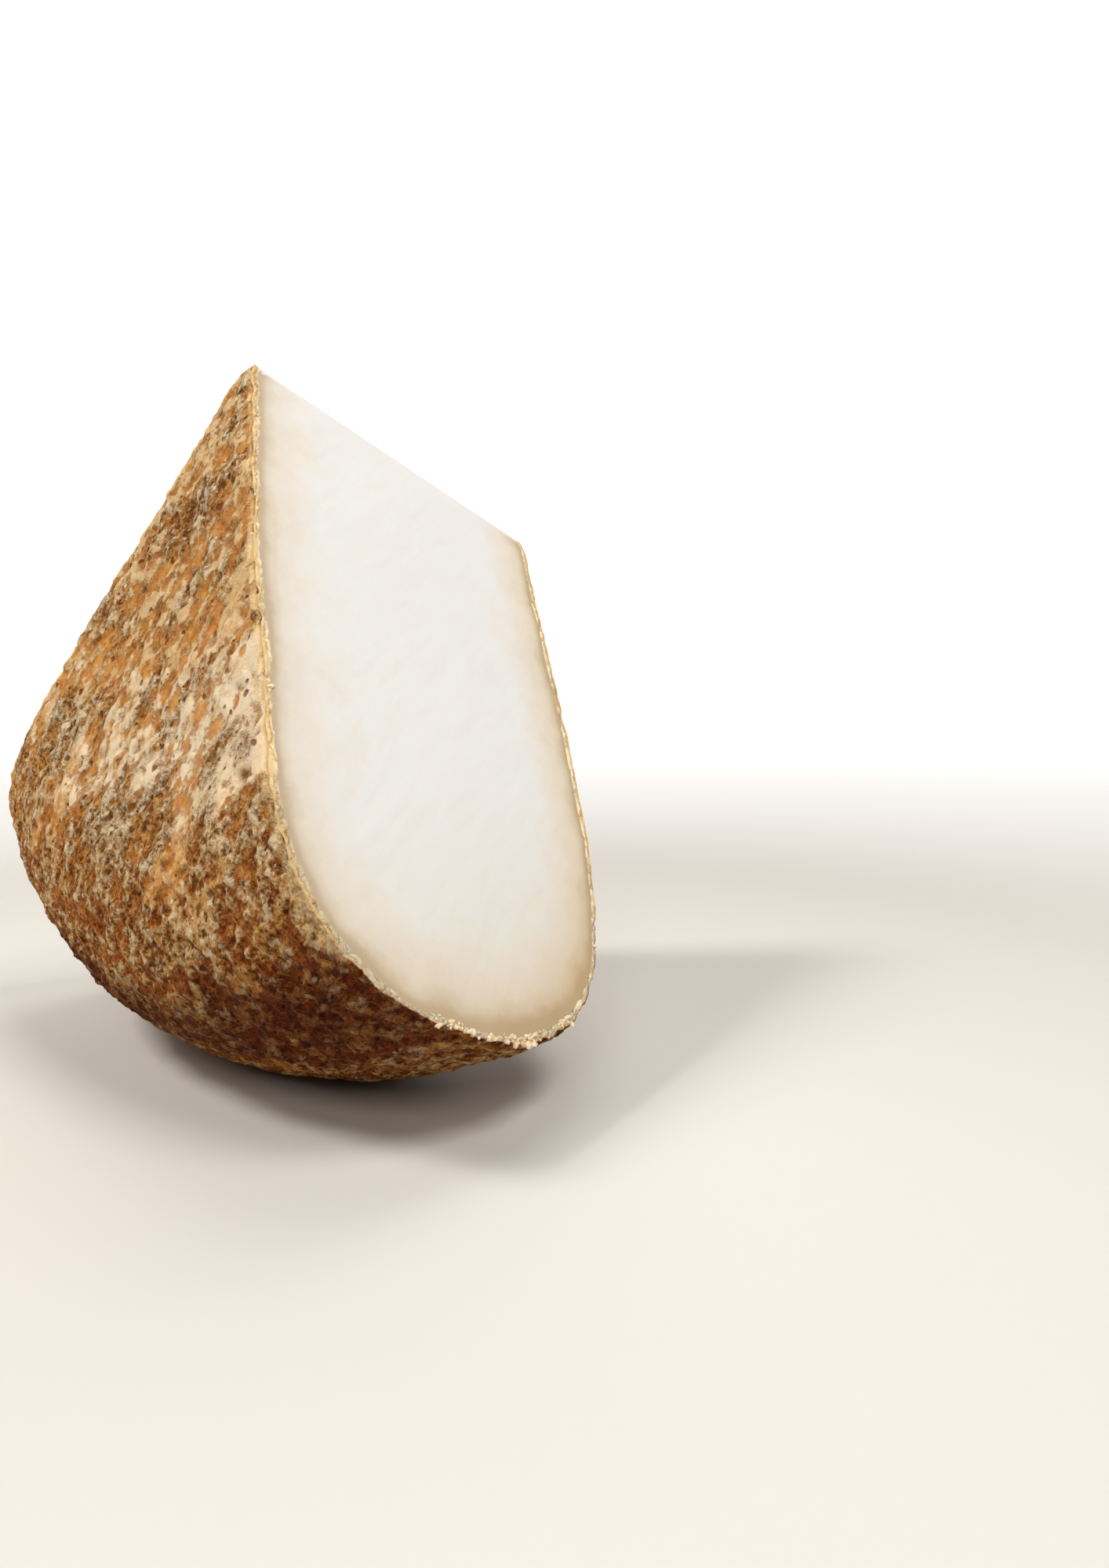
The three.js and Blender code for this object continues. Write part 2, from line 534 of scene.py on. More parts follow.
@dataclass(frozen=True)
class RindRelief:
    """The rind's relief, from broad crags to crumbs and pits."""

    crags: tuple[Crags, ...] = (
        Crags(seed=10, size=52.0, height=1.0),
        Crags(seed=22, size=19.0, height=0.55),
        Crags(seed=61, size=10.0, height=0.32),
        Crags(seed=44, size=6.5, height=0.26),
    )
    grit: tuple[Crags, ...] = (
        Crags(seed=71, size=3.2, height=0.22),
        Crags(seed=72, size=1.9, height=0.22),
        Crags(seed=73, size=1.2, height=0.20),
    )
    hollows: Hollows = Hollows()
    pits: tuple[Pits, ...] = (
        Pits(seed=101, cell=6.2, share=0.40, radius=(0.16, 0.36), depth=0.85),
        Pits(seed=202, cell=2.8, share=0.42, radius=(0.20, 0.44), depth=0.60),
    )
    patches: Crags = Crags(seed=81, size=17.0, height=1.0)
    patch_levels: Span = (-0.3, 0.45)
    patch_gain: Span = (0.55, 1.1)
    rough_gain: float = 1.05
    grain_stretch: float = 1.9
    oval_stretch: float = 1.45
    grit_stretch: float = 1.15
    grain_turn: float = math.radians(60.0)
    smooth_tip: float = 9.0
    smooth_base: float = 11.0
    detail_tip: float = 3.0
    detail_base: float = 3.5
    settle: float = 0.20
    deepest: float = -1.05

    def grain(self, points: Array) -> Array:
        """Turn points of the wheel's frame into the grain's frame, where crags are round.

        Args:
            points: Points in the wheel's frame.

        Returns:
            Rows of (along the axis, across the grain, along the grain).
        """
        cosine, sine = math.cos(self.grain_turn), math.sin(self.grain_turn)
        along = points[:, 1] * cosine + points[:, 2] * sine
        across = points[:, 2] * cosine - points[:, 1] * sine
        return np.stack([points[:, 0], across, along / self.grain_stretch], axis=1)

    def at(self, points: Array, out: Array, level: Array, rough: Array) -> Relief:
        """Work out the relief at points of the smooth rind.

        Args:
            points: The points in the wheel's frame.
            out: Their distances from the axis.
            level: Their heights above what the wedge rests on.
            rough: How rough the rind is at each, from 0 on a calm face up.

        Returns:
            The broad crags, the finer detail with its pits taken away, and what made it.
        """
        grain = self.grain(points)
        oval = grain * np.array([1.0, 1.0, self.grain_stretch / self.oval_stretch])
        grit = grain * np.array([1.0, 1.0, self.grain_stretch / self.grit_stretch])
        broad = sum(layer.rise(grain) for layer in self.crags)
        broad = broad * smoothstep(out, 0.0, self.smooth_tip)
        broad = broad * smoothstep(level, 0.0, self.smooth_base)
        low, high = self.patch_gain
        gain = low + (high - low) * smoothstep(self.patches.rise(grain), *self.patch_levels)
        fine = (gain + self.rough_gain * rough) * sum(layer.rise(grit) for layer in self.grit)
        hollow = self.hollows.field(oval, grit, broad)
        bowls = [kind.bowls(oval) for kind in self.pits]
        fine = fine - self.hollows.sink(hollow)
        fine = fine - sum(kind.depth * bowl for kind, bowl in zip(self.pits, bowls))
        fade = smoothstep(out, 0.0, self.detail_tip) * smoothstep(level, 0.0, self.detail_base)
        detail = np.maximum((fine + self.settle) * fade, self.deepest)
        return Relief(broad, detail, np.maximum(*bowls) * fade, hollow)


# ---- Making meshes ----


@dataclass
class MeshDraft:
    """Points, triangles and values of each point, gathered for one mesh."""

    blocks: list[Array] = field(default_factory=list)
    faces: list[Array] = field(default_factory=list)
    values: list[dict[str, Array]] = field(default_factory=list)
    count: int = 0

    def add_points(self, points: Array, **values: Array | float) -> Array:
        """Add points in the standing frame.

        Args:
            points: The points, in millimetres.
            **values: A number, or a row of three, for each point under each name.

        Returns:
            The new points' indices.
        """
        made = np.arange(self.count, self.count + len(points))
        self.blocks.append(points)
        self.values.append({
            name: np.broadcast_to(np.asarray(value, float), (len(points), *np.shape(value)[1:]))
            for name, value in values.items()
        })
        self.count += len(points)
        return made

    def add_faces(self, triangles: Array) -> None:
        """Add triangles, rows of three indices."""
        self.faces.append(np.asarray(triangles, int).reshape(-1, 3))

    def to_object(self, name: str, material: bpy.types.Material,
                  sharp: float = math.pi) -> bpy.types.Object:
        """Make the mesh and its object.

        Args:
            name: The piece's name.
            material: Its finish.
            sharp: How far an edge bends before it is shaded as an edge.

        Returns:
            The new object, linked to the scene.
        """
        points = np.concatenate(self.blocks) * MILLIMETRE
        mesh = bpy.data.meshes.new(name)
        mesh.from_pydata(points.tolist(), [], np.concatenate(self.faces).tolist())
        for key in self.values[0]:
            data = np.concatenate([block[key] for block in self.values]).astype(np.float32)
            kind, slot = ("FLOAT", "value") if data.ndim == 1 else ("FLOAT_VECTOR", "vector")
            mesh.attributes.new(key, kind, "POINT").data.foreach_set(slot, data.ravel())
        mesh.polygons.foreach_set("use_smooth", np.ones(len(mesh.polygons), bool))
        mesh.materials.append(material)
        mesh.update()
        if sharp < math.pi:
            mesh.set_sharp_from_angle(angle=sharp)
        piece = bpy.data.objects.new(name, mesh)
        bpy.context.scene.collection.objects.link(piece)
        return piece


# ---- Finishes ----


def paint(red: int, green: int, blue: int) -> Colour:
    """Turn a colour as seen into the linear colour that a shader takes.

    Args:
        red: How red it is, from 0 to 255.
        green: How green it is.
        blue: How blue it is.

    Returns:
        The linear colour.
    """
    return tuple(
        (v / 255 / 12.92) if v <= 10 else ((v / 255 + 0.055) / 1.055) ** 2.4
        for v in (red, green, blue)
    )


class Blend(Enum):
    """How one colour goes over another."""

    OVER = "MIX"
    TINT = "MULTIPLY"


@dataclass(frozen=True)
class Cloud:
    """One cloudy noise: the size of its blobs, in millimetres, and its finer layers."""

    size: float
    detail: float = 2.0
    roughness: float = 0.5


@dataclass(frozen=True)
class Warp:
    """A random bending to and fro: the bends' size and how far they reach, in millimetres."""

    size: float
    reach: float


@dataclass(frozen=True)
class Rise:
    """A number that goes in a straight line with a value: what it is at 0 and at 1."""

    at_0: float
    at_1: float


@dataclass(frozen=True)
class Marks:
    """One kind of small round mark, at most one to a cell.

    The cell is in millimetres and the reach, from the smallest mark to the largest, in cells.
    The shares say how many cells hold a mark on a calm rind and on a rough one, and the core is
    the solid part of a mark.
    """

    cell: float
    shares: Rise
    reach: Rise
    core: float
    stretch: Triple = (1.0, 1.0, 1.0)


@dataclass
class NodeSheet:
    """The nodes of one material, added and linked one after another."""

    name: str
    material: bpy.types.Material = field(init=False)

    def __post_init__(self) -> None:
        """Start an empty material."""
        self.material = bpy.data.materials.new(self.name)
        self.material.use_nodes = True
        self.material.node_tree.nodes.clear()

    def node(self, kind: str, inputs: dict[Any, Any], **settings: Any) -> bpy.types.Node:
        """Add a node.

        Args:
            kind: The node's type.
            inputs: A socket to link, or a constant, for each input.
            **settings: The node's own settings.

        Returns:
            The new node.
        """
        made = self.material.node_tree.nodes.new(kind)
        for key, value in settings.items():
            setattr(made, key, value)
        for key, value in inputs.items():
            if isinstance(value, Socket):
                self.material.node_tree.links.new(value, made.inputs[key])
            else:
                made.inputs[key].default_value = value
        return made

    def value(self, name: str) -> Socket:
        """Read a number kept at each point of the mesh."""
        return self.node("ShaderNodeAttribute", {}, attribute_name=name).outputs["Fac"]

    def place(self, name: str) -> Socket:
        """Read a place kept at each point of the mesh."""
        return self.node("ShaderNodeAttribute", {}, attribute_name=name).outputs["Vector"]

    def noise(self, place: Any, cloud: Cloud) -> Socket:
        """Add a cloudy noise from 0 to 1.

        Args:
            place: Where it is read.
            cloud: The kind of noise.

        Returns:
            The noise's value.
        """
        inputs = {"Vector": place, "Scale": 1.0 / cloud.size, "Detail": cloud.detail,
                  "Roughness": cloud.roughness}
        return self.node("ShaderNodeTexNoise", inputs).outputs[0]

    def math(self, operation: str, first: Any, second: Any = 0.0) -> Socket:
        """Work out one number from one or two others."""
        inputs = {0: first, 1: second}
        return self.node("ShaderNodeMath", inputs, operation=operation).outputs[0]

    def times(self, first: Any, second: Any) -> Socket:
        """Multiply two numbers."""
        return self.math("MULTIPLY", first, second)

    def larger(self, first: Any, second: Any) -> Socket:
        """Take the larger of two numbers."""
        return self.math("MAXIMUM", first, second)

    def rest_of(self, share: Any) -> Socket:
        """Work out what a share leaves of 1."""
        return self.math("SUBTRACT", 1.0, share)

    def between(self, value: Any, span: Span) -> Socket:
        """Rise smoothly from 0 to 1 as a value goes from one end of a span to the other.

        Args:
            value: The value.
            span: Where the rise starts and ends.

        Returns:
            A share from 0 to 1.
        """
        inputs = {"Value": value, "From Min": span[0], "From Max": span[1]}
        made = self.node("ShaderNodeMapRange", inputs, interpolation_type="SMOOTHSTEP")
        return made.outputs[0]

    def scale_add(self, value: Any, factor: Any, offset: Any) -> Socket:
        """Work out value times factor plus offset."""
        inputs = {0: value, 1: factor, 2: offset}
        return self.node("ShaderNodeMath", inputs, operation="MULTIPLY_ADD").outputs[0]

    def rise(self, value: Any, line: Rise) -> Socket:
        """Work out a number that goes in a straight line with a value."""
        return self.scale_add(value, line.at_1 - line.at_0, line.at_0)

    def swayed(self, number: Any, *parts: tuple[Any, Any]) -> Socket:
        """Sway a number by noises.

        Args:
            number: The number where every noise is at its middle.
            *parts: The noises, each with how strongly it sways the number.

        Returns:
            The swayed number.
        """
        for noise, strength in parts:
            number = self.scale_add(self.math("SUBTRACT", noise, 0.5), strength, number)
        return number

    def stretched(self, place: Any, scale: Triple) -> Socket:
        """Scale a place along each of its directions."""
        return self.node("ShaderNodeMapping", {"Vector": place, "Scale": scale}).outputs[0]

    def warped(self, place: Any, *warps: Warp) -> Socket:
        """Bend a place to and fro at random.

        Args:
            place: The place.
            *warps: How it is bent, one bending after another.

        Returns:
            The bent place.
        """
        for warp in warps:
            inputs = {"Vector": place, "Scale": 1.0 / warp.size, "Detail": 1.0}
            middle = {0: self.node("ShaderNodeTexNoise", inputs).outputs["Color"], 1: (0.5,) * 3}
            apart = self.node("ShaderNodeVectorMath", middle, operation="SUBTRACT").outputs[0]
            added = {0: apart, 1: (warp.reach,) * 3, 2: place}
            place = self.node("ShaderNodeVectorMath", added, operation="MULTIPLY_ADD").outputs[0]
        return place

    def marks(self, place: Any, kind: Marks, rough: Any) -> Socket:
        """Scatter small round marks.

        Args:
            place: Where they are read.
            kind: The kind of mark.
            rough: From 0 to 1, how rough the rind is, which sets how many cells hold one.

        Returns:
            0 outside the marks and 1 inside.
        """
        inputs = {"Vector": self.stretched(place, kind.stretch), "Scale": 1.0 / kind.cell}
        cells = self.node("ShaderNodeTexVoronoi", inputs)
        draws = self.node("ShaderNodeSeparateColor", {0: cells.outputs["Color"]})
        present = self.math("LESS_THAN", draws.outputs[0], self.rise(rough, kind.shares))
        reach = self.rise(draws.outputs[1], kind.reach)
        outside = self.between(cells.outputs["Distance"], (self.times(reach, kind.core), reach))
        return self.times(self.rest_of(outside), present)

    def ramp(self, value: Any, stops: tuple[tuple[float, Colour], ...]) -> Socket:
        """Turn a value into a colour.

        Args:
            value: A number from 0 to 1.
            stops: The colour at each of several values, in rising order.

        Returns:
            The colour.
        """
        made = self.node("ShaderNodeValToRGB", {0: value})
        elements = made.color_ramp.elements
        while len(elements) < len(stops):
            elements.new(1.0)
        for element, (position, colour) in zip(elements, stops):
            element.position = position
            element.color = (*colour, 1.0)
        return made.outputs[0]

    def mix(self, share: Any, under: Any, over: Any, blend: Blend = Blend.OVER) -> Socket:
        """Put one colour over another.

        Args:
            share: How much of the upper colour shows.
            under: The lower colour, or its socket.
            over: The upper colour, or its socket.
            blend: How the upper goes over the lower.

        Returns:
            The mixed colour.
        """
        sockets = [(*c, 1.0) if isinstance(c, tuple) else c for c in (under, over)]
        inputs = {0: share, 6: sockets[0], 7: sockets[1]}
        made = self.node("ShaderNodeMix", inputs, data_type="RGBA", blend_type=blend.value)
        return made.outputs[2]

    def bump(self, height: Any, strength: float, distance: float) -> Socket:
        """Bend the light as a height would.

        Args:
            height: The height.
            strength: How much of it shows, from 0 to 1.
            distance: What a height of 1 stands for, in millimetres.

        Returns:
            The surface's direction.
        """
        inputs = {"Height": height, "Strength": strength, "Distance": distance * MILLIMETRE}
        return self.node("ShaderNodeBump", inputs).outputs[0]

    def finish(self, inputs: dict[str, Any]) -> bpy.types.Material:
        """End in a shader and give the material.

        Args:
            inputs: A socket or a constant for each of the shader's inputs.

        Returns:
            The finished material.
        """
        shader = self.node("ShaderNodeBsdfPrincipled", inputs)
        self.node("ShaderNodeOutputMaterial", {0: shader.outputs[0]})
        return self.material


@dataclass(frozen=True)
class RindCues:
    """What the layers of the rind's finish read: the mesh's values, and shared noises."""

    rim: Socket
    # Painted shade low down, with some real browning.
    low: Socket
    # Painted bounce light along the very bottom.
    bounce_foot: Socket
    bloom: Socket
    hollow: Socket
    rough: Socket
    bare_face: Socket
    grain: Socket
    oval: Socket
    bent: Socket
    patch: Socket
    blots: Socket
    ragged: Socket
    grit: Socket


@dataclass(frozen=True)
class RindGrain:
    """The zones and noises that the layers share, in the grain's frame."""

    oval_stretch: Triple = (1.0, 1.0, 1.3)
    grit_stretch: Triple = (1.0, 1.0, 1.8)
    round_stretch: Triple = (1.0, 1.0, 1.9)
    bend: Warp = Warp(size=0.9, reach=0.9)
    patch: Cloud = Cloud(11.0, detail=3.0, roughness=0.55)
    slanted_blots: Cloud = Cloud(3.0, roughness=0.55)
    round_blots: Cloud = Cloud(3.6, roughness=0.6)
    ragged: Cloud = Cloud(1.6, detail=4.0, roughness=0.6)
    grit: Cloud = Cloud(0.62, detail=3.0, roughness=0.7)
    rough_pull: float = 0.34
    rough_span: Span = (0.48, 0.66)
    face_span: Span = (0.0, 0.6)

    def cues(self, sheet: NodeSheet) -> RindCues:
        """Add the zones and the noises.

        Args:
            sheet: The material's nodes.

        Returns:
            What the layers read.
        """
        names = ("rim", "low", "bounce_foot", "bloom", "hollow")
        values = {name: sheet.value(name) for name in names}
        rim, bloom = values["rim"], values["bloom"]
        grain = sheet.place("grain")
        oval = sheet.stretched(grain, self.oval_stretch)
        fine = sheet.stretched(grain, self.grit_stretch)
        patch = sheet.noise(grain, self.patch)
        slanted = sheet.noise(oval, self.slanted_blots)
        even = sheet.noise(sheet.stretched(grain, self.round_stretch), self.round_blots)
        zone = sheet.scale_add(sheet.value("rough"), self.rough_pull, patch)
        covered = sheet.between(sheet.math("ADD", rim, bloom), self.face_span)
        return RindCues(
            **values,
            rough=sheet.between(zone, self.rough_span),
            bare_face=sheet.rest_of(covered),
            grain=grain,
            oval=oval,
            bent=sheet.warped(fine, self.bend),
            patch=patch,
            blots=sheet.scale_add(sheet.math("SUBTRACT", even, slanted), rim, slanted),
            ragged=sheet.noise(fine, self.ragged),
            grit=sheet.noise(fine, self.grit),
        )


@dataclass(frozen=True)
class Ground:
    """The rind's gritty tan ground and the broken veil of pale bloom on it."""

    colours: tuple[tuple[float, Colour], ...] = (
        (0.18, paint(130, 82, 34)), (0.36, paint(177, 130, 72)), (0.54, paint(197, 157, 105)),
        (0.72, paint(208, 175, 130)), (0.92, paint(234, 215, 186)),
    )
    bloom: Colour = paint(226, 208, 178)
    tone: Rise = Rise(0.55, 0.62)
    # In rough zones the tone follows the bump's ragged noise, darker in its hollows and paler on
    # its crests: partly painted shade and light for the fine relief, partly the rind's own
    # mottling.
    ragged_sway: Rise = Rise(0.65, 2.55)
    grit_sway: Rise = Rise(0.35, 1.45)
    patch_sway: Rise = Rise(0.2, 1.3)
    veil: Cloud = Cloud(3.8, detail=4.0, roughness=0.65)
    veil_sway: float = 2.8
    veil_span: Span = (0.35, 0.95)
    veil_share: Rise = Rise(0.75, 0.25)

    def colour(self, sheet: NodeSheet, cues: RindCues) -> Socket:
        """Lay the ground.

        Args:
            sheet: The material's nodes.
            cues: What the layers read.

        Returns:
            The ground's colour.
        """
        tone = sheet.swayed(
            sheet.rise(cues.bare_face, self.tone),
            (cues.ragged, sheet.rise(cues.rough, self.ragged_sway)),
            (cues.grit, sheet.rise(cues.rough, self.grit_sway)),
            (cues.patch, sheet.rise(cues.rim, self.patch_sway)),
        )
        cloud = sheet.noise(cues.oval, self.veil)
        veil = sheet.between(sheet.swayed(cues.bloom, (cloud, self.veil_sway)), self.veil_span)
        share = sheet.times(veil, sheet.rise(cues.rough, self.veil_share))
        return sheet.mix(share, sheet.ramp(tone, self.colours), self.bloom)


@dataclass(frozen=True)
class Spots:
    """The rust spots: ragged ones in the hollows, and ovals along the grain."""

    colours: tuple[tuple[float, Colour], ...] = (
        (0.18, paint(98, 48, 8)), (0.40, paint(160, 90, 18)), (0.62, paint(194, 120, 32)),
        (0.86, paint(222, 162, 74)),
    )
    rim_tint: Colour = (0.70, 0.57, 0.38)
    bloom_tint: Colour = (0.97, 1.04, 0.92)
    from_bloom: Rise = Rise(0.24, -0.22)
    from_hollow: float = 0.55
    from_rim: float = -0.06
    ragged_sway: float = -1.5
    patch_sway: float = 1.5
    grit_sway: float = -0.5
    blot_sway: float = 1.9
    span: Span = (-0.10, 0.45)
    ovals: Marks = Marks(cell=6.2, shares=Rise(1.0, 0.90), reach=Rise(0.15, 0.42), core=0.6)
    oval_bends: tuple[Warp, Warp] = (Warp(size=2.2, reach=1.3), Warp(size=0.7, reach=0.5))
    tone: Rise = Rise(0.60, 0.52)
    tone_blot_sway: float = -1.0
    tone_grit_sway: Rise = Rise(0.5, 1.3)
    # The rust's tone also follows the bump's ragged noise: partly painted shade in its hollows and
    # light on its crests, partly the rust's own mottling.
    tone_ragged_sway: Rise = Rise(0.8, 2.3)
    tone_in_ovals: float = -0.08
    share: Rise = Rise(0.82, 0.88)

    def find(self, sheet: NodeSheet, cues: RindCues) -> tuple[Socket, Socket]:
        """Find where the spots are.

        Args:
            sheet: The material's nodes.
            cues: What the layers read.

        Returns:
            All the spots, and the ovals alone, each 0 outside and 1 inside.
        """
        sunk = sheet.scale_add(
            cues.hollow, self.from_hollow, sheet.rise(cues.bloom, self.from_bloom)
        )
        swayed = sheet.swayed(
            sunk, (cues.ragged, self.ragged_sway), (cues.patch, self.patch_sway),
            (cues.grit, self.grit_sway), (cues.blots, self.blot_sway),
        )
        ragged = sheet.between(sheet.scale_add(cues.rim, self.from_rim, swayed), self.span)
        ovals = sheet.marks(sheet.warped(cues.oval, *self.oval_bends), self.ovals, cues.rough)
        return sheet.larger(ragged, ovals), ovals

    def over(self, sheet: NodeSheet, cues: RindCues, ground: Socket, spotted: Socket,
             ovals: Socket) -> Socket:
        """Put the spots over the ground.

        Args:
            sheet: The material's nodes.
            cues: What the layers read.
            ground: The colour below.
            spotted: Where the spots are.
            ovals: Where the ovals among them are.

        Returns:
            The colour with the spots.
        """
        tone = sheet.swayed(
            sheet.rise(cues.bare_face, self.tone),
            (cues.blots, self.tone_blot_sway),
            (cues.grit, sheet.rise(cues.rough, self.tone_grit_sway)),
            (cues.ragged, sheet.rise(cues.rough, self.tone_ragged_sway)),
        )
        rust = sheet.ramp(sheet.scale_add(ovals, self.tone_in_ovals, tone), self.colours)
        rust = sheet.mix(cues.rim, rust, self.rim_tint, Blend.TINT)
        rust = sheet.mix(cues.bloom, rust, self.bloom_tint, Blend.TINT)
        share = sheet.times(spotted, sheet.rise(cues.rim, self.share))
        return sheet.mix(share, ground, rust)


@dataclass(frozen=True)
class Broken:
    """Where the rind is broken: dark nicks and holes, and pale flecks."""

    nicks: Socket
    holes: Socket
    flecks: Socket


@dataclass(frozen=True)
class Breaks:
    """The small dark and pale marks where the rind is broken, partly painted shade in their
    hollows and painted highlights on their crumbs.
    """

    # The dark colours stand partly for the rind's own dark brown and partly for painted shade in
    # pits, nicks and holes.
    sunk: Colour = paint(108, 56, 18)
    darkest: Colour = paint(78, 40, 14)
    # Pale flecks: partly real pale crumbs, partly painted highlights on the raised crumbs.
    pale: Colour = paint(250, 226, 184)
    nicks: Marks = Marks(cell=3.0, shares=Rise(0.10, 0.78), reach=Rise(0.12, 0.40), core=0.5)
    holes: Marks = Marks(cell=1.3, shares=Rise(0.04, 0.48), reach=Rise(0.16, 0.42), core=0.4,
                         stretch=(1.0, 1.0, 0.8))
    flecks: Marks = Marks(cell=1.7, shares=Rise(0.0, 0.36), reach=Rise(0.16, 0.42), core=0.4,
                          stretch=(0.9, 0.9, 0.7))
    crumbly: Cloud = Cloud(2.5, detail=3.0, roughness=0.6)
    crumbly_stretch: Triple = (1.0, 1.0, 0.8)
    crumbly_span: Span = (0.50, 0.64)
    pit_share: float = 0.75
    dark_share: float = 0.85
    pale_share: Rise = Rise(0.8, 0.0)

    def find(self, sheet: NodeSheet, cues: RindCues, spotted: Socket) -> Broken:
        """Find where the marks are.

        Args:
            sheet: The material's nodes.
            cues: What the layers read.
            spotted: Where the spots are, which stay clear of crumbly flecks.

        Returns:
            The marks, each 0 outside and 1 inside.
        """
        nicks, holes, flecks = (
            sheet.marks(cues.bent, kind, cues.rough)
            for kind in (self.nicks, self.holes, self.flecks)
        )
        cloud = sheet.noise(sheet.stretched(cues.bent, self.crumbly_stretch), self.crumbly)
        crumbly = sheet.times(sheet.between(cloud, self.crumbly_span), cues.rough)
        crumbly = sheet.times(crumbly, sheet.rest_of(spotted))
        return Broken(nicks, holes, sheet.larger(flecks, crumbly))

    def darken(self, sheet: NodeSheet, broken: Broken, colour: Socket) -> Socket:
        """Put the dark marks over a colour.

        Args:
            sheet: The material's nodes.
            broken: Where the marks are.
            colour: The colour below.

        Returns:
            The colour with the dark marks.
        """
        # The dark colour is partly the rind's own dark brown, partly painted shade in the pits,
        # nicks and holes that the relief and the bump sink.
        for mask, share, dark in (
            (sheet.value("pit"), self.pit_share, self.sunk),
            (broken.nicks, self.dark_share, self.sunk),
            (broken.holes, self.dark_share, self.darkest),
        ):
            colour = sheet.mix(sheet.times(mask, share), colour, dark)
        return colour

    def lighten(self, sheet: NodeSheet, cues: RindCues, broken: Broken,
                colour: Socket) -> Socket:
        """Put the pale flecks over a colour, fewer low down; they are partly real pale crumbs and
        partly painted highlights.

        Args:
            sheet: The material's nodes.
            cues: What the layers read.
            broken: Where the marks are.
            colour: The colour below.

        Returns:
            The colour with the flecks.
        """
        share = sheet.times(broken.flecks, sheet.rise(cues.low, self.pale_share))
        return sheet.mix(sheet.larger(share, 0.0), colour, self.pale)


@dataclass(frozen=True)
class RindTints:
    """The tints over the whole rind: warmer on the rim, painted shade low down with some real
    browning, and painted bounce light at the very bottom.
    """

    rim: Colour = (1.16, 1.0, 0.73)
    bare_face: Colour = (0.94, 0.98, 1.00)
    # Painted shade low down, with some real browning: the higher the low value, the darker and
    # browner the tint.
    low: tuple[tuple[float, Colour], ...] = (
        (0.0, (1.0, 1.0, 1.0)), (0.3, (0.96, 0.88, 0.75)), (0.55, (0.44, 0.27, 0.14)),
        (0.9, (0.42, 0.22, 0.06)), (1.0, (0.37, 0.18, 0.05)),
    )
    # Painted bounce light: a warmer ochre strip along the very bottom, where the painted shade is
    # mostly lifted.
    bounce_foot: Colour = (1.0, 0.84, 0.50)
    drift: Cloud = Cloud(2.8, detail=3.0, roughness=0.6)
    drift_stretch: Triple = (0.42, 1.0, 1.9)
    low_share: float = 0.94
    drift_sway: float = 2.6
    ragged_sway: float = 1.4
    bounce_foot_share: Rise = Rise(1.0, 0.05)

    def over(self, sheet: NodeSheet, cues: RindCues, colour: Socket) -> Socket:
        """Tint a colour.

        Args:
            sheet: The material's nodes.
            cues: What the layers read.
            colour: The colour below.

        Returns:
            The tinted colour.
        """
        # The painted shade low down is made uneven by noise and mostly lifted at the very bottom.
        drift = sheet.noise(sheet.stretched(cues.grain, self.drift_stretch), self.drift)
        uneven = sheet.swayed(
            self.low_share, (cues.ragged, self.ragged_sway), (drift, self.drift_sway)
        )
        uneven = sheet.times(uneven, sheet.rise(cues.bounce_foot, self.bounce_foot_share))
        low = sheet.ramp(sheet.times(cues.low, uneven), self.low)
        for share, tint in ((cues.rim, self.rim), (cues.bare_face, self.bare_face), (1.0, low),
                            (cues.bounce_foot, self.bounce_foot)):
            colour = sheet.mix(share, colour, tint, Blend.TINT)
        return colour


@dataclass(frozen=True)
class CutBand:
    """The golden band along the cuts: a dry line between a warm core and a pale inner side."""

    gold: Colour = paint(234, 196, 138)
    line: Colour = paint(214, 158, 88)
    core: Colour = paint(236, 204, 150)
    light: Colour = paint(250, 232, 196)
    edge_sway: float = 6.0
    gold_span: Span = (0.3, 2.2)
    gold_share: Rise = Rise(0.65, 0.0)
    dry_span: Span = (0.1, 0.5)
    ragged_sway: float = 1.1
    grit_sway: float = 0.7
    dry_pull: float = 0.4
    light_span: Span = (0.35, 0.8)
    line_at: float = 0.38
    line_span: Span = (0.03, 0.20)
    gaps: Cloud = Cloud(3.0)
    gap_span: Span = (0.35, 0.65)
    line_share: Rise = Rise(1.0, 0.3)
    span: Span = (0.02, 0.2)

    def over(self, sheet: NodeSheet, cues: RindCues, colour: Socket) -> Socket:
        """Put the band over the rind.

        Args:
            sheet: The material's nodes.
            cues: What the layers read.
            colour: The rind's colour.

        Returns:
            The colour with the band.
        """
        band = sheet.value("band")
        dry = sheet.between(cues.low, self.dry_span)
        edge = sheet.swayed(sheet.value("from_cut"), (cues.ragged, self.edge_sway))
        golden = sheet.rest_of(sheet.between(edge, self.gold_span))
        share = sheet.times(golden, sheet.rise(dry, self.gold_share))
        colour = sheet.mix(share, colour, self.gold)
        across = sheet.swayed(
            band, (cues.ragged, self.ragged_sway), (cues.grit, self.grit_sway)
        )
        paler = sheet.between(sheet.scale_add(dry, self.dry_pull, across), self.light_span)
        inner = sheet.mix(paler, self.core, self.light)
        off_line = sheet.math("ABSOLUTE", sheet.math("SUBTRACT", across, self.line_at))
        on_line = sheet.rest_of(sheet.between(off_line, self.line_span))
        unbroken = sheet.between(sheet.noise(cues.grain, self.gaps), self.gap_span)
        faint = sheet.times(unbroken, sheet.rise(dry, self.line_share))
        inner = sheet.mix(sheet.times(on_line, faint), inner, self.line)
        return sheet.mix(sheet.between(band, self.span), colour, inner)


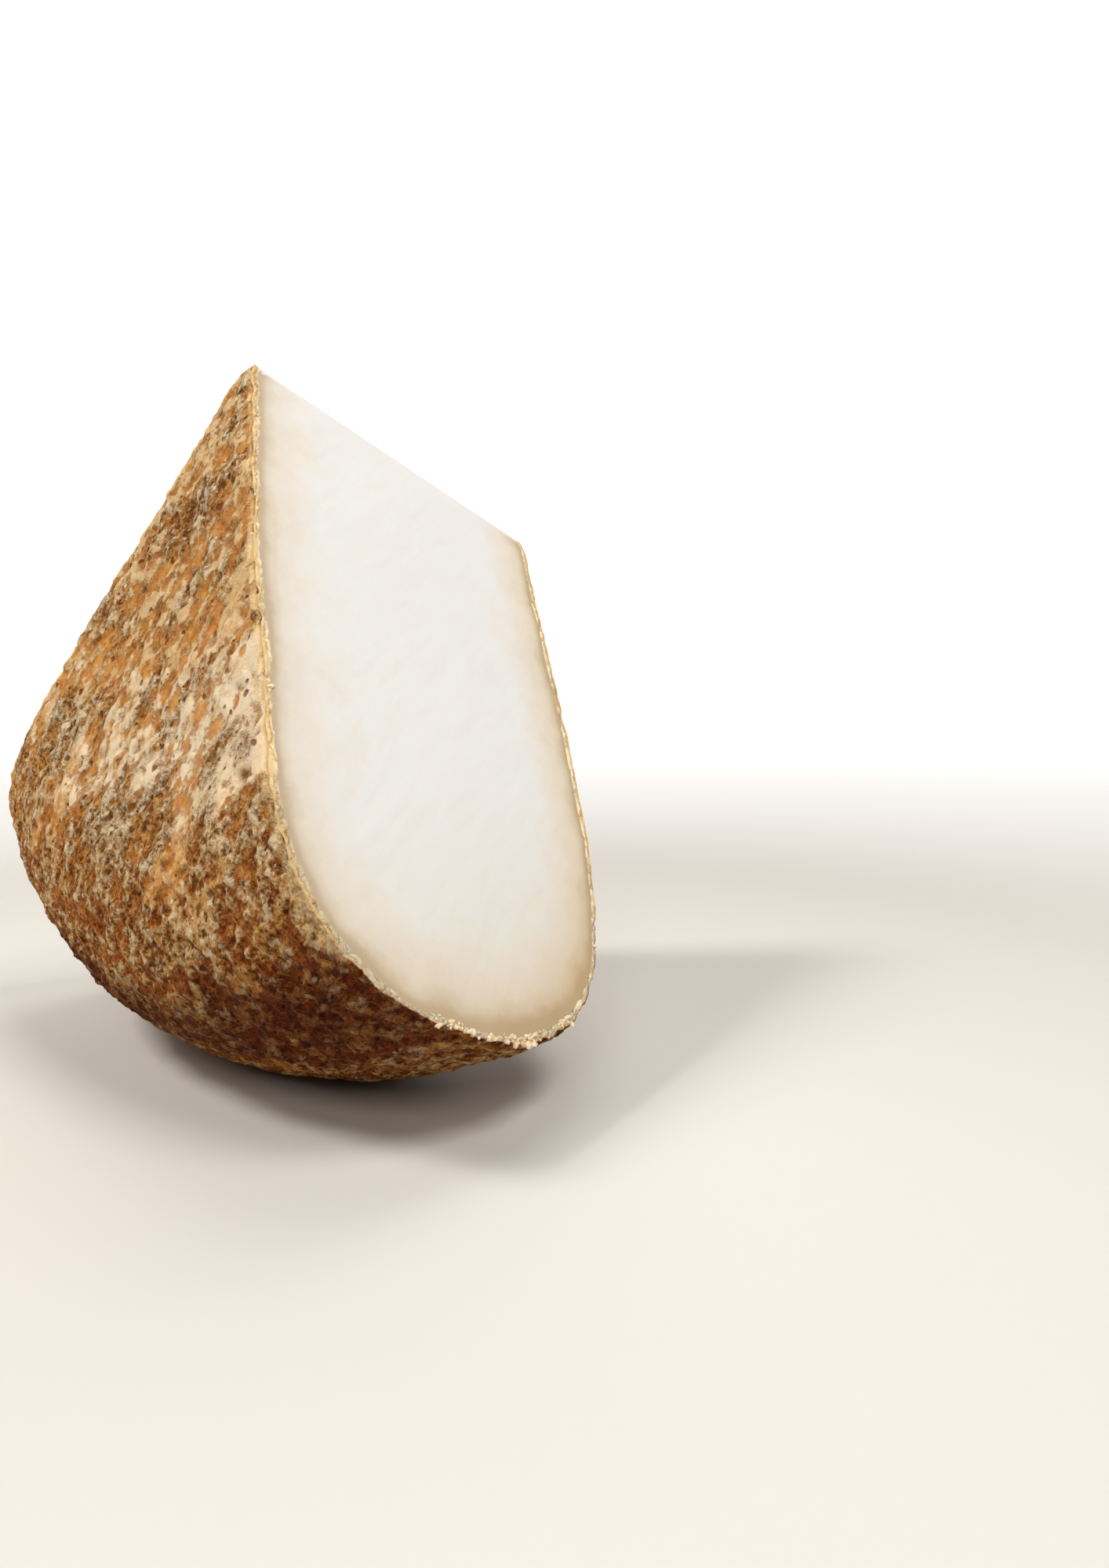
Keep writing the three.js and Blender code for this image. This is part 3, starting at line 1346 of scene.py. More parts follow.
@dataclass(frozen=True)
class RindBump:
    """The rind's relief that is finer than its mesh, in millimetres."""

    ragged: Rise = Rise(0.5, 3.1)
    grit: Rise = Rise(0.18, 1.13)
    spots: Rise = Rise(-0.35, -0.60)
    nicks: float = -0.70
    holes: float = -0.60
    flecks: float = 0.30
    low_gain: Rise = Rise(1.0, 1.9)
    cut_span: Span = (-0.3, 0.9)
    band_span: Span = (0.0, 0.3)
    band_share: float = 0.3

    def normal(self, sheet: NodeSheet, cues: RindCues, spotted: Socket,
               broken: Broken) -> Socket:
        """Bend the light over the relief, calmer by the cuts.

        Args:
            sheet: The material's nodes.
            cues: What the layers read.
            spotted: Where the spots are.
            broken: Where the marks are.

        Returns:
            The surface's direction.
        """
        height = sheet.swayed(
            0.0, (cues.ragged, sheet.rise(cues.rough, self.ragged)),
            (cues.grit, sheet.rise(cues.rough, self.grit)),
        )
        for mask, rise in (
            (spotted, sheet.rise(cues.rough, self.spots)), (broken.nicks, self.nicks),
            (broken.holes, self.holes), (broken.flecks, self.flecks),
        ):
            height = sheet.scale_add(mask, rise, height)
        height = sheet.times(height, sheet.rise(cues.low, self.low_gain))
        off_cut = sheet.between(sheet.value("from_cut"), self.cut_span)
        on_band = sheet.between(sheet.value("band"), self.band_span)
        calmer = sheet.scale_add(on_band, self.band_share, off_cut)
        return sheet.bump(sheet.times(height, calmer), strength=1.0, distance=1.0)


@dataclass(frozen=True)
class RindFinish:
    """The rind's mottled finish, laid on layer by layer."""

    grain: RindGrain = RindGrain()
    ground: Ground = Ground()
    spots: Spots = Spots()
    breaks: Breaks = Breaks()
    tints: RindTints = RindTints()
    band: CutBand = CutBand()
    bump: RindBump = RindBump()
    roughness: float = 0.82
    roughness_sway: float = -0.12
    sheen: float = 0.12

    def build(self) -> bpy.types.Material:
        """Make the material.

        Returns:
            The finished material.
        """
        sheet = NodeSheet("rind")
        cues = self.grain.cues(sheet)
        spotted, ovals = self.spots.find(sheet, cues)
        broken = self.breaks.find(sheet, cues, spotted)
        colour = self.ground.colour(sheet, cues)
        colour = self.spots.over(sheet, cues, colour, spotted, ovals)
        colour = self.breaks.darken(sheet, broken, colour)
        colour = self.tints.over(sheet, cues, colour)
        colour = self.breaks.lighten(sheet, cues, broken, colour)
        return sheet.finish({
            "Base Color": self.band.over(sheet, cues, colour),
            "Roughness": sheet.swayed(self.roughness, (cues.grit, self.roughness_sway)),
            "Normal": self.bump.normal(sheet, cues, spotted, broken),
            "Specular IOR Level": self.sheen,
        })


@dataclass(frozen=True)
class PasteFinish:
    """The paste's finish: ivory, warmer and greyer under the rind, partly its own tone and partly
    painted shade, with painted shade low down and faint knife drag.
    """

    # Darker, greyer and warmer towards the rind: partly the paste's own tone under the rind,
    # partly painted shade beside the band's raised edge.
    colours: tuple[tuple[float, Colour], ...] = (
        (0.05, paint(204, 181, 150)), (0.12, paint(224, 209, 186)), (0.23, paint(236, 225, 209)),
        (0.50, paint(241, 233, 222)), (0.95, paint(241, 239, 234)),
    )
    reach: float = 20.0
    cloud: Cloud = Cloud(14.0, detail=4.0, roughness=0.6)
    cloud_sway: float = 2.2
    # Painted shade low down on the cut faces.
    low_shade_tint: Colour = (0.93, 0.87, 0.78)
    low_shade_levels: Span = (6.0, 75.0)
    far_tint: Colour = (0.99, 0.95, 0.87)
    smear_tint: Colour = (0.985, 0.975, 0.96)
    smear_span: Span = (0.40, 0.80)
    drag_bend: Warp = Warp(size=30.0, reach=14.0)
    drag_stretch: float = 7.0
    drag: Cloud = Cloud(3.0)
    grain: Cloud = Cloud(1.6, detail=4.0, roughness=0.6)
    grain_share: float = 0.5
    bump_strength: float = 0.4
    bump_distance: float = 0.35
    roughness: float = 0.52
    sheen: float = 0.4
    glow_through: float = 0.25
    glow_reach: float = 3.0
    glow_colour: Colour = (1.0, 0.8, 0.55)

    def build(self) -> bpy.types.Material:
        """Make the material.

        Returns:
            The finished material.
        """
        sheet = NodeSheet("paste")
        place = sheet.place("place")
        depth = sheet.value("from_rind")
        wander = sheet.swayed(0.0, (sheet.noise(place, self.cloud), self.cloud_sway))
        deep = sheet.times(sheet.scale_add(depth, wander, depth), 1.0 / self.reach)
        high = sheet.between(sheet.value("level"), self.low_shade_levels)
        drawn = sheet.node("ShaderNodeMapping", {
            "Vector": sheet.warped(place, self.drag_bend), "Rotation": (0.0, 0.0, KNIFE_DRAG),
            "Scale": (self.drag_stretch, 1.0, 1.0),
        }, vector_type="TEXTURE").outputs[0]
        streak = sheet.noise(drawn, self.drag)
        colour = sheet.ramp(deep, self.colours)
        # The first tint is painted shade low down.
        for share, tint in (
            (sheet.rest_of(high), self.low_shade_tint), (sheet.value("far"), self.far_tint),
            (sheet.between(streak, self.smear_span), self.smear_tint),
        ):
            colour = sheet.mix(share, colour, tint, Blend.TINT)
        height = sheet.scale_add(sheet.noise(place, self.grain), self.grain_share, streak)
        return sheet.finish({
            "Base Color": colour, "Roughness": self.roughness,
            "Normal": sheet.bump(height, self.bump_strength, self.bump_distance),
            "Specular IOR Level": self.sheen,
            "Subsurface Weight": self.glow_through, "Subsurface Radius": self.glow_colour,
            "Subsurface Scale": self.glow_reach * MILLIMETRE,
        })


@dataclass(frozen=True)
class CrumbFinish:
    """The crumbs' finish: dry cream with a little gold."""

    cream: Colour = paint(246, 230, 200)
    gold: Colour = paint(226, 186, 126)
    cloud: Cloud = Cloud(1.3, roughness=0.6)
    gold_span: Span = (0.42, 0.64)
    roughness: float = 0.8
    sheen: float = 0.3

    def build(self) -> bpy.types.Material:
        """Make the material.

        Returns:
            The finished material.
        """
        sheet = NodeSheet("crumbs")
        golden = sheet.between(sheet.noise(sheet.place("place"), self.cloud), self.gold_span)
        return sheet.finish({
            "Base Color": sheet.mix(golden, self.cream, self.gold),
            "Roughness": self.roughness, "Specular IOR Level": self.sheen,
        })


@dataclass(frozen=True)
class FloorFinish:
    """The floor's plain pale finish, which whitens away from the middle as a lit room would."""

    pale: Colour = paint(214, 208, 198)
    glow_start: float = 0.30
    glow_power: float = 2.0
    roughness: float = 0.75

    def build(self) -> bpy.types.Material:
        """Make the material.

        Returns:
            The finished material.
        """
        sheet = NodeSheet("floor")
        place = sheet.node("ShaderNodeTexCoord", {}).outputs["Object"]
        apart = sheet.node("ShaderNodeVectorMath", {0: place}, operation="LENGTH").outputs["Value"]
        near = sheet.math("MINIMUM", sheet.math("DIVIDE", self.glow_start, apart), 1.0)
        return sheet.finish({
            "Base Color": (*self.pale, 1.0), "Roughness": self.roughness,
            "Emission Color": (1.0, 1.0, 1.0, 1.0),
            "Emission Strength": sheet.math("POWER", sheet.rest_of(near), self.glow_power),
        })


# ---- The pieces ----


@dataclass(frozen=True)
class Rind:
    """The rind: a craggy shell whose cut edge stands a little proud of the paste."""

    form: WedgeForm
    stance: Stance
    relief: RindRelief
    finish: RindFinish = RindFinish()
    grid: float = 0.74
    inner_grid: float = 2.4
    fewest: int = 5
    thickness: float = 2.5
    thin: float = 1.9
    thin_levels: Span = (26.0, 60.0)
    uneven: tuple[Crags, ...] = (
        Crags(seed=91, size=9.0, height=0.4),
        Crags(seed=92, size=2.0, height=0.25),
    )
    band_shares: tuple[float, ...] = (0.06, 0.22, 0.42, 0.62, 0.80)
    band_lifts: tuple[float, ...] = (-0.02, 0.06, 0.10, 0.10, 0.06)
    band_sink: float = -0.22
    band_crumb: Crags = Crags(seed=95, size=1.3, height=0.30)
    band_lowest: float = 0.05
    crumb_from: float = 0.35
    corner_fade: float = 1.5
    corner_share: float = 0.4
    edge_round: float = 0.34
    edge_reach: float = 0.9
    edge_calm: float = 0.65
    calm_reach: float = 1.6
    rough_patches: tuple[RoughPatch, ...] = (
        RoughPatch((0.4, 102.8, 61.0), 12.0), RoughPatch((0.2, 109.4, 42.9), 8.0),
        RoughPatch((8.7, 143.9, 2.0), 12.0), RoughPatch((17.0, 150.0, 8.0), 11.0),
        RoughPatch((0.0, 61.7, 85.7), 9.0), RoughPatch((0.0, 34.6, 29.8), 8.0),
        RoughPatch((0.0, 109.4, 6.0), 3.5), RoughPatch((6.6, 130.2, 52.8), 9.0),
    )
    rim_roughness: float = 0.55
    rim_start: float = 104.0
    rim_full: float = 146.0
    # Painted shade low down, with some real browning of the underside: the low value rises towards
    # the bottom and the front cut, and eases towards the far face.
    low_shade_levels: Span = (30.0, 61.0)
    low_lift: float = 16.0
    low_lift_turn: Span = (0.0, 0.3)
    low_back: float = 0.52
    low_far: float = 0.52
    low_across: Span = (20.0, 45.0)
    low_wander: Crags = Crags(seed=97, size=13.0, height=9.0)
    # Painted bounce light along the very bottom of the rind.
    bounce_foot_levels: Span = (4.0, 20.0)
    bloom_out: Span = (52.0, 108.0)
    bloom_back: float = 0.5
    bloom_front: float = 1.15
    inner_level: float = 0.8

    def relief_of(self, place: Array, normal: Array, turn: Array) -> Relief:
        """Work out the relief over the rind's smooth form.

        Args:
            place: Rows of (along, out) on the section.
            normal: The section's outward normal at each.
            turn: The turn of each.

        Returns:
            The relief there.
        """
        smooth = self.form.surface(place, normal, turn, 0.0)
        level = self.stance.stand(smooth)[:, 2]
        return self.relief.at(smooth, place[:, 1], level, self.roughness(smooth, place[:, 1]))

    def on_rim(self, out: Array) -> Array:
        """Rise from 0 on a flat face to 1 on the rim."""
        return smoothstep(out, self.rim_start, self.rim_full)

    def roughness(self, points: Array, out: Array) -> Array:
        """Find how rough the rind is, from 0 on a calm face up to 1 where it is broken."""
        broken = sum(patch.share(points) for patch in self.rough_patches)
        return np.minimum(self.rim_roughness * self.on_rim(out) + broken, 1.0)

    def inner_height(self, place: Array, turn: Array, crags: Array) -> Array:
        """Find how far the rind's inside lies from the section.

        Args:
            place: Rows of (along, out) on the section.
            turn: The turn of each.
            crags: The height of the broad crags at each.

        Returns:
            The inside's height, which is negative.
        """
        along, out = place[:, 0], place[:, 1]
        points = np.stack([along, out * np.cos(turn), out * np.sin(turn)], axis=1)
        low = 1.0 - smoothstep(self.stance.stand(points)[:, 2], *self.thin_levels)
        thickness = self.thickness - (self.thickness - self.thin) * low
        return crags - thickness + sum(layer.rise(points) for layer in self.uneven)

    def values_at(self, points: Array, out: Array, turn: Array) -> dict[str, Array]:
        """Work out the values that the finish reads.

        Args:
            points: Points in the wheel's frame.
            out: Their distances from the axis.
            turn: Their turns round the axis.

        Returns:
            Each value by its name.
        """
        grain = self.relief.grain(points)
        toward_front = 1.0 - turn / self.form.cut_turn
        level = self.stance.stand(points)[:, 2]
        # The low value is painted shade with some real browning; shaded and paler set how it grows
        # towards the front cut and eases towards the far face.
        lift = self.low_lift * smoothstep(1.0 - toward_front, *self.low_lift_turn)
        low = 1.0 - smoothstep(level + self.low_wander.rise(grain) + lift, *self.low_shade_levels)
        shaded = self.low_back + (1.0 - self.low_back) * toward_front
        paler = 1.0 - self.low_far * smoothstep(points[:, 0], *self.low_across)
        bloom = smoothstep(out, *self.bloom_out) * (1.0 - self.on_rim(out))
        bloomed = self.bloom_back + (self.bloom_front - self.bloom_back) * toward_front
        return {
            "grain": grain,
            "rim": self.on_rim(out),
            "rough": self.roughness(points, out),
            "low": shaded * low * paler,
            # Painted bounce light along the very bottom.
            "bounce_foot": 1.0 - smoothstep(level, *self.bounce_foot_levels),
            "bloom": bloom * bloomed,
            "from_cut": self.from_cut(out, turn),
        }

    def from_cut(self, out: Array, turn: Array) -> Array:
        """Measure how far round the axis points lie from the nearer cut, in millimetres."""
        return out * np.minimum(turn, self.form.cut_turn - turn)

    def outside(self, draft: MeshDraft) -> tuple[Sweep, Array, Relief]:
        """Add the craggy outside.

        Args:
            draft: The mesh being gathered.

        Returns:
            The sweep, its points in the wheel's frame, and the relief.
        """
        sweep = self.form.sweep(self.grid, self.fewest)
        relief = self.relief_of(sweep.place, sweep.normal, sweep.turn)
        from_cut = self.from_cut(sweep.place[:, 1], sweep.turn)
        rounded = self.edge_round * (1.0 - np.minimum(from_cut / self.edge_reach, 1.0)) ** 2
        calm = self.edge_calm + (1.0 - self.edge_calm) * smoothstep(from_cut, 0.0, self.calm_reach)
        height = relief.crags + relief.detail * calm - rounded
        points = self.form.surface(sweep.place, sweep.normal, sweep.turn, height)
        standing = self.stance.stand(points)
        standing[:, 2] = np.maximum(standing[:, 2], 0.0)
        values = self.values_at(points, sweep.place[:, 1], sweep.turn)
        draft.add_points(standing, hollow=relief.hollow, pit=relief.pit, band=0.0, **values)
        draft.add_faces(sweep.triangles())
        return sweep, points, relief

    def inside(self, draft: MeshDraft) -> Border:
        """Add the smooth inside, which lies against the paste.

        Args:
            draft: The mesh being gathered.

        Returns:
            Its border, as indices in the draft.
        """
        sweep = self.form.sweep(self.inner_grid, self.fewest)
        relief = self.relief_of(sweep.place, sweep.normal, sweep.turn)
        height = self.inner_height(sweep.place, sweep.turn, relief.crags)
        points = self.form.surface(sweep.place, sweep.normal, sweep.turn, height)
        border = sweep.border()
        standing = self.stance.stand(self.sink_border(border, points))
        standing[:, 2] = np.maximum(standing[:, 2], self.inner_level)
        values = self.values_at(points, sweep.place[:, 1], sweep.turn)
        first = draft.add_points(standing, hollow=0.0, pit=0.0, band=1.0, **values)[0]
        draft.add_faces(sweep.triangles()[:, ::-1] + first)
        return Border([side + first for side in border.sides])

    def facings(self, border: Border) -> list[Array]:
        """Give the outward direction at each row of a border's sides.

        Args:
            border: The border.

        Returns:
            For each side, one direction for each of its rows.
        """
        front, back = self.form.cut_facings()
        blunt = self.form.blunt_facing()
        outward = (front, blunt, back, blunt)
        return [np.tile(facing, (len(side), 1)) for side, facing in zip(border.sides, outward)]

    def sink_border(self, border: Border, points: Array) -> Array:
        """Sink the inside's border below the paste's cut faces.

        Args:
            border: The border of the points.
            points: The inside's points in the wheel's frame.

        Returns:
            All the points, with those of the border moved.
        """
        moved = points.copy()
        for side, facing in zip(border.sides, self.facings(border)):
            moved[side] += facing * self.band_sink * self.off_corners(points[side])[:, None]
        return moved

    def off_corners(self, points: Array) -> Array:
        """Rise from 0 at the two ends of a side to 1 away from them.

        Args:
            points: The side's points, in order.

        Returns:
            A share from 0 to 1 for each point.
        """
        steps = np.linalg.norm(np.diff(points, axis=0), axis=1)
        reached = np.concatenate([[0.0], np.cumsum(steps)])
        nearest = np.minimum(reached, reached[-1] - reached)
        return smoothstep(nearest, 0.0, min(self.corner_fade, reached[-1] * self.corner_share))

    def cut_edge(self, draft: MeshDraft, sweep: Sweep, points: Array, relief: Relief,
                 inner: Border) -> None:
        """Add the band round the cuts, from the outside's border to the inside's.

        Args:
            draft: The mesh being gathered.
            sweep: The outside's sweep.
            points: The outside's points in the wheel's frame.
            relief: The outside's relief.
            inner: The inside's border.
        """
        border = sweep.border()
        ring = border.ring()
        place, turn = sweep.place[ring], sweep.turn[ring]
        depth = self.inner_height(place, turn, relief.crags[ring])
        within = self.form.surface(place, sweep.normal[ring], turn, depth)
        facing = np.concatenate([rows[:-1] for rows in self.facings(border)])
        last = border.sides
        for share, lift in zip(self.band_shares, self.band_lifts):
            across = points[ring] * (1.0 - share) + within * share
            crumb = lift + min(share / self.crumb_from, 1.0) * self.band_crumb.rise(across)
            crumb *= np.concatenate([self.off_corners(side)[:-1] for side in border.split(across)])
            standing = self.stance.stand(across + facing * crumb[:, None])
            standing[:, 2] = np.maximum(standing[:, 2], self.band_lowest)
            values = self.values_at(across, place[:, 1], turn)
            made = draft.add_points(standing, hollow=0.0, pit=0.0, band=share, **values)
            sides = border.split(made)
            self.join_sides(draft, last, sides)
            last = sides
        self.join_sides(draft, last, inner.sides)

    @staticmethod
    def join_sides(draft: MeshDraft, outer: list[Array], inner: list[Array]) -> None:
        """Fill the strip between two borders, side by side."""
        for outer_side, inner_side in zip(outer, inner):
            draft.add_faces(zip_rows(outer_side, inner_side)[:, ::-1])

    def build(self) -> bpy.types.Object:
        """Make the rind.

        Returns:
            The finished piece.
        """
        draft = MeshDraft()
        sweep, points, relief = self.outside(draft)
        inner = self.inside(draft)
        self.cut_edge(draft, sweep, points, relief, inner)
        return draft.to_object("rind", self.finish.build())


@dataclass(frozen=True)
class Paste:
    """The paste: one closed body whose two cut faces show inside the band of rind."""

    rind: Rind
    finish: PasteFinish = PasteFinish()
    grid: float = 2.4
    face_grid: float = 1.25
    overlap: float = 0.6
    deep_inside: float = 20.0
    low_shade_levels: Span = (12.0, 55.0)
    # Painted shade low down: near the bottom the darker edge colour reaches further in.
    low_gain: float = 0.7
    far_shares: Span = (0.5, 0.85)
    far_reach: Span = (3.0, 20.0)
    waves: tuple[Crags, ...] = (
        Crags(seed=31, size=34.0, height=0.22),
        Crags(seed=32, size=9.0, height=0.09),
    )
    wave_inset: Span = (0.3, 3.0)
    drag: Crags = Crags(seed=33, size=3.4, height=0.06)
    drag_stretch: float = 5.0
    first_layer: float = 60.0
    layers_apart: float = 40.0
    turn_apart: float = 60.0
    sharp: float = math.radians(40.0)
    lowest: float = 0.3
    jitter: float = 0.18
    jitter_seed: int = 5
    inset: float = 0.6

    def height(self, sweep: Sweep) -> Array:
        """Find how far the paste's outside lies from the section.

        Args:
            sweep: The paste's sweep.

        Returns:
            The height of each of its points.
        """
        relief = self.rind.relief_of(sweep.place, sweep.normal, sweep.turn)
        inner = self.rind.inner_height(sweep.place, sweep.turn, relief.crags)
        return inner + self.overlap

    def add_points(self, draft: MeshDraft, points: Array, from_rind: Array | float) -> Array:
        """Stand points up, clear of what the wedge rests on, and add them.

        Args:
            draft: The mesh being gathered.
            points: Points in the wheel's frame.
            from_rind: How far each lies from the rind. A part of it is taken off low down, so that
            the darker edge colour reaches deeper there as painted shade.

        Returns:
            The new points' indices.
        """
        standing = self.rind.stance.stand(points)
        standing[:, 2] = np.maximum(standing[:, 2], self.lowest)
        level = standing[:, 2]
        # Painted shade low down: the edge's darker colour reaches further in near the bottom.
        low = 1.0 - smoothstep(level, *self.low_shade_levels)
        far = smoothstep(points[:, 0] / self.rind.form.section.thickness, *self.far_shares)
        turn = np.arctan2(points[:, 2], points[:, 1])
        return draft.add_points(
            standing,
            place=np.column_stack([along_and_out(points), self.turn_apart * turn]),
            from_rind=from_rind * (1.0 - self.low_gain * low),
            level=level,
            far=far * (1.0 - smoothstep(from_rind, *self.far_reach)),
        )

    def narrow_flat(self, draft: MeshDraft, points: Array, near_end: Array,
                    far_end: Array) -> tuple[Array, list[Array]]:
        """Add the narrow flat that joins the two cuts.

        Args:
            draft: The mesh being gathered.
            points: The points added so far, in the wheel's frame.
            near_end: The indices at the flat's near end, from the front cut to the back cut.
            far_end: Those at its far end.

        Returns:
            All the points with the flat's, and its lines of indices from end to end.
        """
        lengths = np.linalg.norm(points[far_end] - points[near_end], axis=1)
        steps = round(float(lengths.min()) / self.face_grid)
        share = np.linspace(0.0, 1.0, steps + 1)[1:-1, None]
        lines = []
        for near, far in zip(near_end, far_end):
            between = points[near] * (1.0 - share) + points[far] * share
            made = self.add_points(draft, between, self.deep_inside)
            points = np.concatenate([points, between])
            lines.append(np.concatenate([[near], made, [far]]))
        for one, other in zip(lines[:-1], lines[1:]):
            draft.add_faces(zip_rows(one, other))
        return points, lines

    def cut_face(self, draft: MeshDraft, points: Array, side: Array, line: Array,
                 facing: Array, turn: float) -> None:
        """Add one cut face with its faint waves.

        Args:
            draft: The mesh being gathered.
            points: The points added so far, in the wheel's frame.
            side: The indices along the rind, from the near end of the axis to the far end.
            line: The indices along the narrow flat, from end to end.
            facing: The face's outward direction.
            turn: The face's turn round the axis, 0 for the front cut.
        """
        border = np.concatenate([side, line[1:-1][::-1]])
        outline = along_and_out(points[border])
        inner = self.scatter(outline)
        along, out = inner[:, 0], inner[:, 1]
        placed = np.stack([along, out * math.cos(turn), out * math.sin(turn)], axis=1)
        from_edge = distance_to_line(inner, np.concatenate([outline, outline[:1]]))
        fade = smoothstep(from_edge, *self.wave_inset)
        waved = placed + facing * (fade * self.wave(inner, turn))[:, None]
        from_rind = distance_to_line(inner, along_and_out(points[side]))
        made = self.add_points(draft, waved, from_rind)
        faces = fill_outline(outline, inner)
        draft.add_faces(np.concatenate([border, made])[faces[:, ::-1] if turn else faces])

    def wave(self, flat: Array, turn: float) -> Array:
        """Give the height of a cut face's waves and knife drag.

        Args:
            flat: Rows of (along, out) on the face.
            turn: The face's turn round the axis, which sets its own layer of the random fields.

        Returns:
            The height at each row.
        """
        along, out = flat[:, 0], flat[:, 1]
        layer = np.full(len(flat), self.first_layer + self.layers_apart * turn)
        cosine, sine = math.cos(KNIFE_DRAG), math.sin(KNIFE_DRAG)
        drawn = (along * cosine + out * sine) / self.drag_stretch
        across = out * cosine - along * sine
        waves = sum(wave.rise(np.column_stack([flat, layer])) for wave in self.waves)
        return waves + self.drag.rise(np.stack([drawn, across, layer], axis=1))

    def scatter(self, outline: Array) -> Array:
        """Scatter points inside an outline in loose rows.

        Args:
            outline: The outline's corners in order.

        Returns:
            The points that lie well inside.
        """
        step = self.face_grid
        low, high = outline.min(axis=0), outline.max(axis=0)
        rows = np.arange(low[1], high[1], step * math.sqrt(3.0) / 2.0)
        columns = np.arange(low[0], high[0], step)
        along, out = np.meshgrid(columns, rows)
        along = along + (np.arange(len(rows)) % 2)[:, None] * step / 2.0
        points = np.stack([along.ravel(), out.ravel()], axis=1)
        draws = np.random.default_rng(self.jitter_seed)
        points = points + draws.uniform(-self.jitter, self.jitter, points.shape) * step
        points = points[inside_outline(points, outline)]
        closed = np.concatenate([outline, outline[:1]])
        return points[distance_to_line(points, closed) > self.inset * step]

    def build(self) -> bpy.types.Object:
        """Make the paste.

        Returns:
            The finished piece.
        """
        draft = MeshDraft()
        form = self.rind.form
        sweep = form.sweep(self.grid, self.rind.fewest)
        points = form.surface(sweep.place, sweep.normal, sweep.turn, self.height(sweep))
        self.add_points(draft, points, 0.0)
        draft.add_faces(sweep.triangles())
        front, far_end, back, near_end = sweep.border().sides
        points, lines = self.narrow_flat(draft, points, near_end[::-1], far_end)
        front_facing, back_facing = form.cut_facings()
        self.cut_face(draft, points, front, lines[0], front_facing, 0.0)
        self.cut_face(draft, points, back[::-1], lines[-1], back_facing, form.cut_turn)
        return draft.to_object("paste", self.finish.build(), self.sharp)


def along_and_out(points: Array) -> Array:
    """Lay points of the wheel's frame flat, as rows of (along, out)."""
    return np.stack([points[:, 0], np.hypot(points[:, 1], points[:, 2])], axis=1)


def fill_outline(outline: Array, inner: Array) -> Array:
    """Fill an outline with triangles.

    Args:
        outline: The outline's corners in order.
        inner: More corners inside it.

    Returns:
        Rows of three indices, those of the outline first, all turning the same way.
    """
    points = np.concatenate([outline, inner])
    ring = [list(range(len(outline)))]
    corners = [Vector(point) for point in points]
    made = delaunay_2d_cdt(corners, [], ring, INSIDE_ONLY, MERGE_WITHIN)
    origin = [indices[0] for indices in made[3]]
    faces = np.array([[origin[corner] for corner in face] for face in made[2]])
    first, second, third = (points[faces[:, k]] for k in range(3))
    one, other = second - first, third - first
    area = one[:, 0] * other[:, 1] - one[:, 1] * other[:, 0]
    return np.where((area > 0)[:, None], faces, faces[:, ::-1])


def distance_to_line(points: Array, line: Array) -> Array:
    """Measure how far flat points lie from a line of straight pieces.

    Args:
        points: The flat points.
        line: The line's corners in order.

    Returns:
        The distance of each point.
    """
    nearest = np.full(len(points), np.inf)
    for start, end in zip(line[:-1], line[1:]):
        run = end - start
        share = np.clip((points - start) @ run / max(run @ run, NO_LENGTH), 0.0, 1.0)
        gap = np.linalg.norm(points - start - share[:, None] * run, axis=1)
        nearest = np.minimum(nearest, gap)
    return nearest


def inside_outline(points: Array, outline: Array) -> Array:
    """Find which flat points lie inside an outline.

    Args:
        points: The flat points.
        outline: The outline's corners in order.

    Returns:
        True for each point inside.
    """
    inside = np.zeros(len(points), bool)
    x, y = points[:, 0], points[:, 1]
    for start, end in zip(outline, np.roll(outline, -1, axis=0)):
        if start[1] == end[1]:
            continue
        crosses = (start[1] > y) != (end[1] > y)
        at = start[0] + (y - start[1]) * (end[0] - start[0]) / (end[1] - start[1])
        inside ^= crosses & (x < at)
    return inside


@dataclass(frozen=True)
class Cluster:
    """A place along the rind's edge where grains gather, in shares of the edge's length."""

    middle: float
    spread: float
    weight: float


